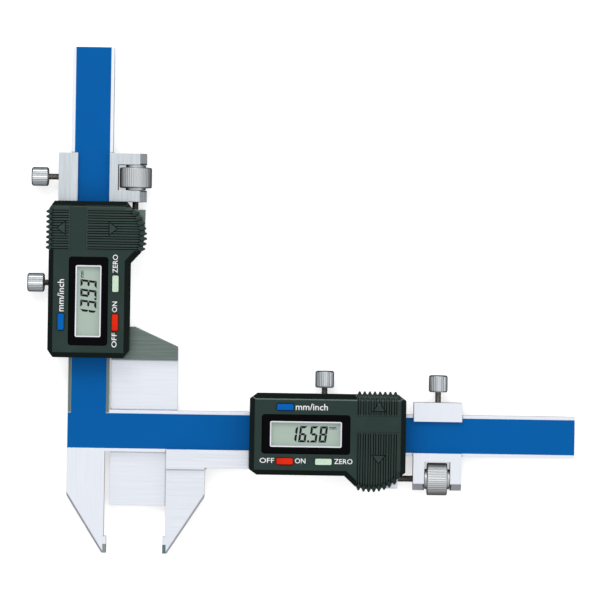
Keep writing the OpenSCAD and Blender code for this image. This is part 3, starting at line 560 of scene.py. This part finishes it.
def build_materials():
    """All finishes by name."""
    tone = colours()
    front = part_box("jaw_housing")[1].z - FACE_DEPTH
    beam_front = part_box("main_frame")[1].z
    # The frame's border beside the vertical label, up to under the housing, gets painted dark
    # reflection on its front
    shaded_frame_low = (-FAR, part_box("horizontal_label")[1].y, beam_front - SKIN)
    shaded_frame_high = (
        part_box("vertical_label")[1].x + BORDER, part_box("tongue_housing")[0].y + UNDER_HOUSING,
        FAR)
    # corners is the share of painted shade in the beams' inner corners and gaps
    beam = {"corners": 0.7, "metallic": 0.75}
    return {
        "steel_x": ground_steel("Ground steel along X", tone.steel, ALONG_X, **beam),
        # The tongue's front above the beams gets painted dark reflection
        "tongue": ground_steel(
            "Ground tongue under a dull front", tone.steel, ALONG_X, 0.3, 0.1, **beam,
            shaded=tone.shoulder, shaded_low=(-FAR, -FAR, beam_front - SKIN)),
        "frame": ground_steel(
            "Ground steel dull below the display", tone.steel, ALONG_Y, 0.3, 0.08, **beam,
            shaded=tone.shoulder, shaded_low=shaded_frame_low, shaded_high=shaded_frame_high),
        "clamp_x": clamp_steel("jaw", tone.steel, ALONG_Y, 0.06),
        "clamp_y": clamp_steel("tongue", tone.clamp_steel, CLAMP_ALONG_Y, 0.3),
        "knurl": plated("Plated knurl", tone.knurl, 0.28),
        "nut": plated("Plated nut", tone.nut, 0.4),
        "shank": ground_steel("Screw shank", tone.shank, EVEN, 0.3, 0.1, 0.001 * MM, 0.04 * MM),
        "tip_fixed": ground_steel("Fixed hard tip", tone.tip_fixed, EVEN, 0.34, 0.2),
        "tip_moving": ground_steel("Moving hard tip", tone.tip_moving, EVEN, 0.34, 0.2),
        "thread": ground_steel("Oiled thread", tone.thread, EVEN, 0.36, 0.3),
        "brass": ground_steel("Machined brass", tone.brass, ALONG_X, 0.3, 0.15),
        "jaw_housing": housing_plastic("jaw", front, 1.0),
        "tongue_housing": housing_plastic("tongue", front, 0.2),
        "jaw_cover": cover_plastic("jaw", 0.86, Vector((1, 0, 0)), front, 0.45),
        "tongue_cover": cover_plastic("tongue", 1.12, Vector((0, 1, 0)), front, 0.15),
        "bezel": moulding(
            "Black bezel", tone.bezel, 0.32, 5600.0, 0.002 * MM, 1.8, specular=0.03),
        "rim": moulding("White rim", tone.rim, 0.45, 5200.0, 0.002 * MM, 1.02, 0.1 * MM),
        "glass": printed("Grey display", tone.glass, 0.28),
        "label": printed("Blue film", tone.label, 0.34),
        "unit_button": button_plastic("Blue button", tone.unit_button, 0.8),
        "power_button": button_plastic("Red button", tone.power_button, 0.8),
        "zero_button": button_plastic("Pale button", tone.zero_button, 1.1),
        "board": moulding(
            "Lacquered board", tone.board, 0.4, 3000.0, 0.003 * MM, 1.2, specular=0.3),
        "connector": moulding("Soft connector", tone.connector, 0.6, 3000.0, 0.004 * MM, 1.1),
        "digits": printed("Display segments", tone.digits, 0.4),
        "letters": printed("Printed letters", tone.letters, 0.5),
    }


MATERIALS = {}


def finish_of(name):
    """A finish's material; all of them are made at the first call."""
    if not MATERIALS:
        MATERIALS.update(build_materials())
    return MATERIALS[name]


# Pieces

def dress(node, finish):
    """Gives a CAD node its finish."""
    mesh = frame["nodes"][node].data
    mesh.materials.clear()
    mesh.materials.append(finish_of(finish))


def dress_side(side, finishes):
    """Gives nodes of one side their finishes, by the names without the side."""
    for name, finish in finishes.items():
        dress(side + "_" + name, finish)


def settle(piece, node, replaced=True):
    """Lets a finished piece ride with a node's body, in the node's slot, and stand for the node."""
    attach(piece, body_of(node))
    if replaced:
        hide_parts(node)


def new_piece(name, mesh, finish):
    """A piece at the origin with its mesh and finish."""
    piece = bpy.data.objects.new(name, mesh)
    bpy.context.scene.collection.objects.link(piece)
    mesh.materials.clear()
    mesh.materials.append(finish_of(finish))
    return piece


def drawn_piece(name, work, finish):
    """A piece of what has been drawn in a bmesh."""
    mesh = bpy.data.meshes.new(name)
    work.to_mesh(mesh)
    work.free()
    return new_piece(name, mesh, finish)


@contextlib.contextmanager
def edited(mesh):
    """A bmesh of the mesh, written back at the end."""
    work = bmesh.new()
    work.from_mesh(mesh)
    yield work
    work.to_mesh(mesh)
    work.free()


def plain_mesh(piece):
    """A mesh of its own from a piece as its modifiers make it."""
    bpy.context.view_layer.update()
    evaluated = piece.evaluated_get(bpy.context.evaluated_depsgraph_get())
    return bpy.data.meshes.new_from_object(evaluated)


def apply_modifier(piece, modifier):
    """Makes what the modifier gives the piece's own mesh."""
    old = piece.data
    piece.data = plain_mesh(piece)
    piece.modifiers.remove(modifier)
    bpy.data.meshes.remove(old)
    return piece.data


def shade(mesh, angle=0.6):
    """Smooth faces with edges sharper than the angle kept crisp."""
    mesh.polygons.foreach_set("use_smooth", [True] * len(mesh.polygons))
    with edited(mesh) as work:
        for edge in work.edges:
            edge.smooth = len(edge.link_faces) != 2 or edge.calc_face_angle(0.0) < angle
    mesh.update()


def softened(node, finish, radius):
    """Stands for a CAD node: a copy with its flat faces joined and its edges truly rounded."""
    mesh = frame["nodes"][node].data.copy()
    mesh.name = node + "_soft"
    with edited(mesh) as work:
        bmesh.ops.remove_doubles(work, verts=work.verts, dist=2 * TOUCH)
        bmesh.ops.dissolve_limit(
            work, angle_limit=math.radians(1.0), verts=work.verts, edges=work.edges)
        bmesh.ops.recalc_face_normals(work, faces=work.faces)
    piece = new_piece(node + "_soft", mesh, finish)
    rounding = piece.modifiers.new("Rounding", "BEVEL")
    rounding.width = radius
    rounding.segments = 3
    rounding.limit_method = "ANGLE"
    rounding.angle_limit = math.radians(35.0)
    shade(apply_modifier(piece, rounding))
    settle(piece, node)


# Geometry node trees

def closed_tree(tree, geometry):
    """Ends a geometry tree with real geometry in the given finish."""
    real = tree.node("GeometryNodeRealizeInstances", {"Geometry": geometry})
    coat = tree.node("GeometryNodeSetMaterial", {
        "Geometry": real.outputs["Geometry"], "Material": tree.given["Finish"]})
    return tree.done(Geometry=coat.outputs["Geometry"])


def body_tree(name, inputs):
    """A geometry tree with the inputs that every round body has, and its own."""
    return Group(
        name, "Geometry", {
            "Length": ("Float", 5 * MM), "Radius": ("Float", 1 * MM), "Depth": ("Float", 0.2 * MM),
            "Rows": ("Int", 60), **inputs, "Finish": ("Material", None)},
        {"Geometry": "Geometry"})


def rolled_grid(tree, columns, radius_of):
    """A grid rolled into a closed body along z; radius_of gives its radius from turn and height."""
    reach = tree.given["Length"]
    grid = tree.node("GeometryNodeMeshGrid", {
        "Size X": 1.0, "Size Y": reach, "Vertices X": columns, "Vertices Y": tree.given["Rows"]})
    spot = tree.split(tree.node("GeometryNodeInputPosition").outputs["Position"])
    turn = tree.math("ADD", spot["X"], 0.5)
    height = tree.math("MULTIPLY_ADD", reach, 0.5, spot["Y"])
    inside = tree.math(
        "MULTIPLY", tree.math("GREATER_THAN", height, TOUCH),
        tree.math("LESS_THAN", height, tree.math("SUBTRACT", reach, TOUCH)))
    radius = tree.math("MULTIPLY", inside, radius_of(turn, height))
    angle = tree.math("MULTIPLY", turn, 2 * math.pi)
    at = tree.node("ShaderNodeCombineXYZ", {
        "X": tree.math("MULTIPLY", radius, tree.math("COSINE", angle)),
        "Y": tree.math("MULTIPLY", radius, tree.math("SINE", angle)), "Z": height})
    moved = tree.node("GeometryNodeSetPosition", {
        "Geometry": grid.outputs["Mesh"], "Position": at.outputs[0]})
    merged = tree.node("GeometryNodeMergeByDistance", {
        "Geometry": moved.outputs["Geometry"], "Distance": TOUCH})
    return closed_tree(tree, merged.outputs["Geometry"])


def zigzag(tree, share, depth):
    """A depth that goes from nothing to full and back once in each whole step of share."""
    wave = tree.math("PINGPONG", share, 0.5)
    return tree.math("MULTIPLY", tree.math("MULTIPLY", wave, 2.0), depth)


@shared("Threaded rod")
def thread_tree(name):
    """A threaded rod along z with blunt ends: the radius follows a helix of the given pitch."""
    tree = body_tree(name, {"Pitch": ("Float", 0.4 * MM)})
    given = tree.given

    def radius_of(turn, height):
        phase = tree.math("SUBTRACT", tree.math("DIVIDE", height, given["Pitch"]), turn)
        return tree.math("SUBTRACT", given["Radius"], zigzag(tree, phase, given["Depth"]))

    return rolled_grid(tree, THREAD_COLUMNS, radius_of)


@shared("Knurled knob")
def knob_tree(name):
    """A straight-knurled knob along z with a chamfer and a smooth collar at both ends."""
    tree = body_tree(name, {
        "Chamfer": ("Float", 0.45 * MM), "Collar": ("Float", 0.0),
        "Collar Radius": ("Float", 2 * MM), "Teeth": ("Int", 30)})
    given = tree.given

    def radius_of(turn, height):
        groove = zigzag(tree, tree.math("MULTIPLY", turn, given["Teeth"]), given["Depth"])
        knurl = tree.math("SUBTRACT", given["Radius"], groove)
        mirrored = tree.math("MINIMUM", height, tree.math("SUBTRACT", given["Length"], height))
        past = tree.math("SUBTRACT", mirrored, given["Collar"])
        base = tree.math("SUBTRACT", given["Radius"], given["Chamfer"])
        cone = tree.math("ADD", base, tree.math("MAXIMUM", past, 0.0))
        switch = tree.node("GeometryNodeSwitch", {
            "Switch": tree.math("GREATER_THAN", past, -TOUCH), "False": given["Collar Radius"],
            "True": tree.math("MINIMUM", knurl, cone)}, input_type="FLOAT")
        return switch.outputs[0]

    return rolled_grid(tree, tree.math("MULTIPLY_ADD", given["Teeth"], 4.0, 1.0), radius_of)


def grown(name, tree, finish, matrix, **values):
    """A piece grown by a geometry node tree, made a plain mesh in the row frame."""
    piece = bpy.data.objects.new(name, bpy.data.meshes.new(name))
    bpy.context.scene.collection.objects.link(piece)
    modifier = piece.modifiers.new("Form", "NODES")
    modifier.node_group = tree
    sockets = {s.name: s.identifier for s in tree.interface.items_tree if s.in_out == "INPUT"}
    for key, value in values.items():
        modifier[sockets[key.replace("_", " ")]] = value
    modifier[sockets["Finish"]] = finish_of(finish)
    mesh = apply_modifier(piece, modifier)
    if not mesh.polygons:
        raise RuntimeError(name + " came out empty")
    mesh.transform(matrix)
    with edited(mesh) as work:
        bmesh.ops.recalc_face_normals(work, faces=work.faces)
    shade(mesh)
    return piece


def along(start, direction):
    """Matrix that lays a body drawn along z from a point in a direction."""
    turn = Vector(direction).to_track_quat("Z", "Y").to_matrix().to_4x4()
    return Matrix.Translation(start) @ turn


def round_body(node, direction):
    """Start point, length and radius of a round CAD node that lies in a direction."""
    low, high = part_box(node)
    size = high - low
    reach = abs(size.dot(direction))
    return (low + high) / 2 - direction * reach / 2, reach, size.z / 2


# Operators

class CALIPER_OT_steel(bpy.types.Operator):
    """Finish the ground steel: frame, sliders, carriages, tips and end stops"""
    bl_idname = "caliper.steel"
    bl_label = "Ground Steel"

    def execute(self, context):
        dress("main_frame", "frame")
        dress("fixed_jaw_tip", "tip_fixed")
        dress("moving_jaw_tip", "tip_moving")
        dress("end_stop_screws", "thread")
        dress_side("jaw", {"slider": "steel_x", "carriage": "clamp_x"})
        dress_side("tongue", {"slider": "tongue", "carriage": "clamp_y"})
        for side in SIDES:
            dress_side(side, {
                "gib": "brass", "gib_screws": "thread", "housing_screws": "thread",
                "lock_pad": "brass", "clamp_pad": "brass"})
        return {"FINISHED"}


class CALIPER_OT_labels(bpy.types.Operator):
    """Finish the blue films and the scale boards under them"""
    bl_idname = "caliper.labels"
    bl_label = "Labels and Scales"

    def execute(self, context):
        for beam in ("horizontal", "vertical"):
            dress(beam + "_label", "label")
            dress(beam + "_scale", "board")
        return {"FINISHED"}


class CALIPER_OT_housings(bpy.types.Operator):
    """Finish the moulded display housings and their ribbed covers"""
    bl_idname = "caliper.housings"
    bl_label = "Display Housings"

    def execute(self, context):
        given = sizes()
        for side in SIDES:
            dress_side(side, {
                "housing": side + "_housing", "battery_cover": side + "_cover",
                "port_cover": side + "_cover", "lcd_frame": "rim", "circuit_board": "board",
                "lcd_connector": "connector", "button_cell": "knurl", "battery_contacts": "knurl"})
            softened(side + "_bezel", "bezel", given.edge)
            for name in ("unit_button", "power_button", "zero_button"):
                softened(side + "_" + name, name, given.button_edge)
        return {"FINISHED"}


# Segments of a seven-segment digit, from a at the top clockwise to f, and g across the middle
SEGMENTS = {
    "1": "bc", "3": "abcdg", "5": "acdfg", "6": "acdefg", "8": "abcdefg", "9": "abcdfg",
}
# Places of the digits, of the point, and of the word mm: left, right, baseline and top, all from the
# display's middle
DIGIT_PLACES = (-3.65 * MM, -0.9 * MM, 2.3 * MM, 5.05 * MM)
POINT_PLACE = 0.62 * MM
UNIT_WORD = ("mm", (6.85, 8.85, 1.45, 2.25))
# Printed words beside the buttons, in mm on the slider's own beam
LETTERING = (
    ("mm/inch", (13.4, 22.8, 7.15, 9.1)),
    ("OFF", (3.1, 7.4, -8.4, -6.9)),
    ("ON", (13.4, 16.5, -8.4, -6.9)),
    ("ZERO", (24.8, 30.2, -8.4, -6.9)),
)


def segment_outline(which):
    """The outline of one segment of a digit centred on the origin, before the slant."""
    given = sizes()
    w, h, t, g = given.digit_width / 2, given.digit_height / 2, given.stroke, given.segment_gap
    half = t / 2
    if which == "g":
        return [(-w + g + half, 0), (-w + t + g, half), (w - t - g, half),
                (w - g - half, 0), (w - t - g, -half), (-w + t + g, -half)]
    if which in "ad":
        outline = [(-w + g, h), (w - g, h), (w - t - g, h - t), (-w + t + g, h - t)]
    else:
        outline = [(w, h - g), (w, g + half * 0.2), (w - half, g), (w - t, g + half),
                   (w - t, h - t - g)]
    across = -1 if which in "ef" else 1
    down = -1 if which in "cde" else 1
    mirrored = [(across * x, down * y) for x, y in outline]
    return mirrored if across == down else mirrored[::-1]


def flat_solid(work, outline, low, high):
    """Adds a prism with the given outline between two heights."""
    bottom = [work.verts.new((x, y, low)) for x, y in outline]
    top = [work.verts.new((x, y, high)) for x, y in outline]
    work.faces.new(top)
    work.faces.new(list(reversed(bottom)))
    for i, vert in enumerate(bottom):
        j = (i + 1) % len(outline)
        work.faces.new((vert, bottom[j], top[j], top[i]))


def draw_reading(work, reading, middle, base):
    """Adds the slanted digits and the point of a reading round the middle of a display."""
    given = sizes()
    top = base + given.ink
    foot = middle.y - given.digit_height / 2
    places = iter(DIGIT_PLACES)
    for figure in reading:
        if figure == ".":
            flat_solid(work, [
                (middle.x + POINT_PLACE + (x + y * given.slant) * given.point, foot + y * given.point)
                for x, y in ((-0.5, 0), (0.5, 0), (0.5, 1), (-0.5, 1))], base, top)
            continue
        centre = next(places)
        for which in SEGMENTS[figure]:
            flat_solid(work, [
                (centre + x + y * given.slant + middle.x, y + middle.y)
                for x, y in segment_outline(which)], base, top)


def words(work, text, sides, matrix, base, start=(0.0, 0.0)):
    """Adds printed letters on the height base that fill a rectangle given by its sides in mm."""
    left, right = (start[0] + value * MM for value in sides[:2])
    low, high = (start[1] + value * MM for value in sides[2:])
    curve = bpy.data.curves.new("words", "FONT")
    curve.body = text
    curve.size = 1.0
    curve.offset = sizes().weight
    curve.resolution_u = 3
    holder = bpy.data.objects.new("words", curve)
    bpy.context.scene.collection.objects.link(holder)
    mesh = plain_mesh(holder)
    bpy.data.objects.remove(holder)
    bpy.data.curves.remove(curve)
    with edited(mesh) as letters:
        bmesh.ops.remove_doubles(letters, verts=letters.verts, dist=1e-5)
        box_x = [v.co.x for v in letters.verts]
        box_y = [v.co.y for v in letters.verts]
        sx = (right - left) / (max(box_x) - min(box_x))
        sy = (high - low) / (max(box_y) - min(box_y))
        fit = (Matrix.Translation((left, low, base)) @ Matrix.Diagonal((sx, sy, 1.0, 1.0))
               @ Matrix.Translation((-min(box_x), -min(box_y), 0.0)))
        bmesh.ops.transform(letters, matrix=fit, verts=letters.verts)
        bmesh.ops.recalc_face_normals(letters, faces=letters.faces)
        for face in letters.faces:
            if face.normal.z < 0:
                face.normal_flip()
        lifted = bmesh.ops.extrude_face_region(letters, geom=letters.faces[:])
        for vert in [g for g in lifted["geom"] if isinstance(g, bmesh.types.BMVert)]:
            vert.co.z += sizes().ink
        bmesh.ops.recalc_face_normals(letters, faces=letters.faces)
        bmesh.ops.transform(letters, matrix=matrix, verts=letters.verts)
        # The extrusion's walls come in an order that varies from run to run, until they are sorted.
        letters.verts.index_update()
        count = len(letters.verts)
        for parts in (letters.edges, letters.faces):
            parts.sort(key=lambda part: sum(v.index * count ** k for k, v in enumerate(part.verts)))
    work.from_mesh(mesh)
    bpy.data.meshes.remove(mesh)


class CALIPER_OT_displays(bpy.types.Operator):
    """Make the grey displays with the dark digits of both readings"""
    bl_idname = "caliper.displays"
    bl_label = "Displays"

    def execute(self, context):
        for side in SIDES:
            node = side + "_lcd"
            dress(node, "glass")
            low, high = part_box(node)
            own = unit_matrix(side)
            middle = own.inverted() @ ((low + high) / 2)
            work = bmesh.new()
            draw_reading(work, READINGS[side], middle, high.z)
            bmesh.ops.transform(work, matrix=own, verts=work.verts)
            words(work, *UNIT_WORD, own, high.z, start=middle)
            bmesh.ops.recalc_face_normals(work, faces=work.faces)
            settle(drawn_piece(side + "_lcd_digits", work, "digits"), node, replaced=False)
        return {"FINISHED"}


class CALIPER_OT_lettering(bpy.types.Operator):
    """Print the words beside the buttons of both housings"""
    bl_idname = "caliper.lettering"
    bl_label = "Lettering"

    def execute(self, context):
        for side in SIDES:
            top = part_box(side + "_housing")[1].z
            work = bmesh.new()
            for text, rectangle in LETTERING:
                words(work, text, rectangle, unit_matrix(side), top)
            piece = drawn_piece(side + "_lettering", work, "letters")
            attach(piece, body_of(side + "_housing"))
        return {"FINISHED"}


class CALIPER_OT_screws(bpy.types.Operator):
    """Make the knurled thumb screws with their threaded shanks"""
    bl_idname = "caliper.screws"
    bl_label = "Thumb Screws"

    def execute(self, context):
        given = sizes()
        for side in SIDES:
            outward = unit_matrix(side).to_3x3() @ Vector((0, 1, 0))
            for name in ("lock_screw", "clamp_screw"):
                node = side + "_" + name
                tip, reach, radius = round_body(node, outward)
                head = grown(
                    node + "_head", knob_tree(), "knurl", along(tip + outward * reach, -outward),
                    Length=given.head_length, Radius=radius, Chamfer=given.knob_chamfer, Collar=0.0,
                    Collar_Radius=0.0, Teeth=given.head_teeth, Depth=given.knurl_depth,
                    Rows=HEAD_ROWS)
                settle(head, node)
                shank = grown(
                    node + "_shank", thread_tree(), "shank", along(tip + outward * PAD_GAP, outward),
                    Length=reach - PAD_GAP - given.head_length + HEAD_SEAT,
                    Radius=given.shank_radius, Pitch=given.pitch, Depth=given.thread_depth,
                    Rows=SHANK_ROWS)
                settle(shank, node, replaced=False)
        return {"FINISHED"}


class CALIPER_OT_fine_adjustment(bpy.types.Operator):
    """Make the threaded fine screws and the knurled nuts on them"""
    bl_idname = "caliper.fine_adjustment"
    bl_label = "Fine Adjustment"

    def execute(self, context):
        given = sizes()
        for side in SIDES:
            onward = unit_matrix(side).to_3x3() @ Vector((1, 0, 0))
            node = side + "_fine_screw"
            start, reach, radius = round_body(node, onward)
            rod = grown(
                node + "_thread", thread_tree(), "thread", along(start, onward), Length=reach,
                Radius=radius, Pitch=given.pitch, Depth=given.thread_depth, Rows=ROD_ROWS)
            settle(rod, node)
            node = side + "_fine_nut"
            start, reach, radius = round_body(node, onward)
            nut = grown(
                node + "_knurl", knob_tree(), "nut", along(start, onward), Length=reach,
                Radius=radius, Chamfer=given.nut_chamfer, Collar=(reach - given.nut_width) / 2,
                Collar_Radius=given.collar_radius, Teeth=given.nut_teeth, Depth=given.knurl_depth,
                Rows=NUT_ROWS)
            settle(nut, node)
        return {"FINISHED"}


class CALIPER_OT_studio(bpy.types.Operator):
    """Set up the floor, the camera and the soft lights"""
    bl_idname = "caliper.studio"
    bl_label = "Studio"

    def execute(self, context):
        scene = context.scene
        given = scene.caliper_studio
        middle = Vector(given.middle)
        ground = CAD_BOX[0][2] - FLOOR_GAP
        mesh = bpy.data.meshes.new("floor")
        mesh.from_pydata(
            [(x * FLOOR_REACH, y * FLOOR_REACH, ground)
             for x, y in ((-1, -1), (1, -1), (1, 1), (-1, 1))], [], [(0, 1, 2, 3)])
        mesh.materials.append(floor_material())
        floor = bpy.data.objects.new("floor", mesh)
        scene.collection.objects.link(floor)

        lens = bpy.data.cameras.new("camera")
        lens.sensor_fit = "HORIZONTAL"
        lens.sensor_width = SENSOR
        lens.lens = SENSOR * given.camera_height / given.view_width
        lens.clip_start = 0.01
        camera = bpy.data.objects.new("camera", lens)
        camera.location = middle + Vector((0, 0, given.camera_height))
        camera.rotation_euler = (0, 0, given.roll)
        scene.collection.objects.link(camera)
        scene.camera = camera

        for name, place, power in (
                ("key", KEY_PLACE, given.key_power), ("fill", FILL_PLACE, given.fill_power)):
            lamp = bpy.data.lights.new(name, "AREA")
            lamp.shape = "SQUARE"
            lamp.size = given.lamp_size
            lamp.energy = power
            light = bpy.data.objects.new(name, lamp)
            light.location = middle + Vector(place)
            light.rotation_euler = (middle - light.location).to_track_quat("-Z", "Y").to_euler()
            scene.collection.objects.link(light)

        scene.world = studio_world()
        scene.view_settings.view_transform = "Standard"
        return {"FINISHED"}


def seen_rays(nodes):
    """The kinds of rays, and a mask that is 1 for what the camera sees, also through glass."""
    rays = nodes.node("ShaderNodeLightPath").outputs
    return rays, nodes.math("MAXIMUM", rays["Is Camera Ray"], rays["Is Transmission Ray"])


def floor_material():
    """A floor that is seen as white, is mirrored dark and keeps the object's shadow."""
    material = bpy.data.materials.new("Studio floor")
    material.use_nodes = True
    material.node_tree.nodes.clear()
    nodes = Nodes(material.node_tree)
    rays, seen = seen_rays(nodes)
    shade_of_floor = nodes.node("ShaderNodeMix", {
        "Factor": rays["Is Glossy Ray"], "A": (*(FLOOR_LIT,) * 3, 1.0),
        "B": (*(FLOOR_MIRRORED,) * 3, 1.0)}, data_type="RGBA")
    diffuse = nodes.node("ShaderNodeBsdfDiffuse", {"Color": shade_of_floor.outputs["Result"]})
    glow = nodes.node("ShaderNodeEmission", {"Strength": nodes.math("MULTIPLY", seen, FLOOR_GLOW)})
    both = nodes.node("ShaderNodeAddShader", {0: diffuse.outputs[0], 1: glow.outputs[0]})
    nodes.node("ShaderNodeOutputMaterial", {"Surface": both.outputs[0]})
    return material


def studio_world():
    """White where it is seen; softer and darker towards the horizon where it lights and mirrors."""
    world = bpy.data.worlds.new("Studio")
    world.use_nodes = True
    nodes = Nodes(world.node_tree)
    rise = nodes.split(nodes.node("ShaderNodeTexCoord").outputs["Generated"])["Z"]
    strength = nodes.node("ShaderNodeMix", {
        "Factor": seen_rays(nodes)[1], "A": nodes.ranged(rise, HORIZON, ZENITH, 0.0, 0.9), "B": 1.0},
        data_type="FLOAT")
    background = nodes.tree.nodes["Background"].inputs
    background["Color"].default_value = (1.0, 1.0, 1.0, 1.0)
    nodes.put(background["Strength"], strength.outputs["Result"])
    return world


class CALIPER_PT_panel(bpy.types.Panel):
    """Sizes and colours of the caliper, and its pieces"""
    bl_idname = "CALIPER_PT_panel"
    bl_label = "Gear Tooth Caliper"
    bl_space_type = "VIEW_3D"
    bl_region_type = "UI"
    bl_category = "Caliper"

    def draw(self, context):
        for group in ("caliper_colours", "caliper_sizes", "caliper_studio"):
            given = getattr(context.scene, group)
            box = self.layout.box()
            for key in given.__annotations__:
                box.prop(given, key)
        for step in STEPS:
            self.layout.operator(step.bl_idname)


GROUPS = (
    (CaliperColours, "caliper_colours"),
    (CaliperSizes, "caliper_sizes"),
    (CaliperStudio, "caliper_studio"),
)
STEPS = (
    CALIPER_OT_steel, CALIPER_OT_labels, CALIPER_OT_housings, CALIPER_OT_displays,
    CALIPER_OT_lettering, CALIPER_OT_screws, CALIPER_OT_fine_adjustment, CALIPER_OT_studio,
)


def register():
    for group, name in GROUPS:
        bpy.utils.register_class(group)
        setattr(bpy.types.Scene, name, bpy.props.PointerProperty(type=group))
    for kind in STEPS + (CALIPER_PT_panel,):
        bpy.utils.register_class(kind)


def unregister():
    for kind in reversed(STEPS + (CALIPER_PT_panel,)):
        bpy.utils.unregister_class(kind)
    for group, name in reversed(GROUPS):
        delattr(bpy.types.Scene, name)
        bpy.utils.unregister_class(group)


def main():
    """Makes every piece and the studio in order, and writes the sizes."""
    register()
    for step in STEPS:
        area, name = step.bl_idname.split(".")
        getattr(getattr(bpy.ops, area), name)()


if __name__ == "__main__":
    main()
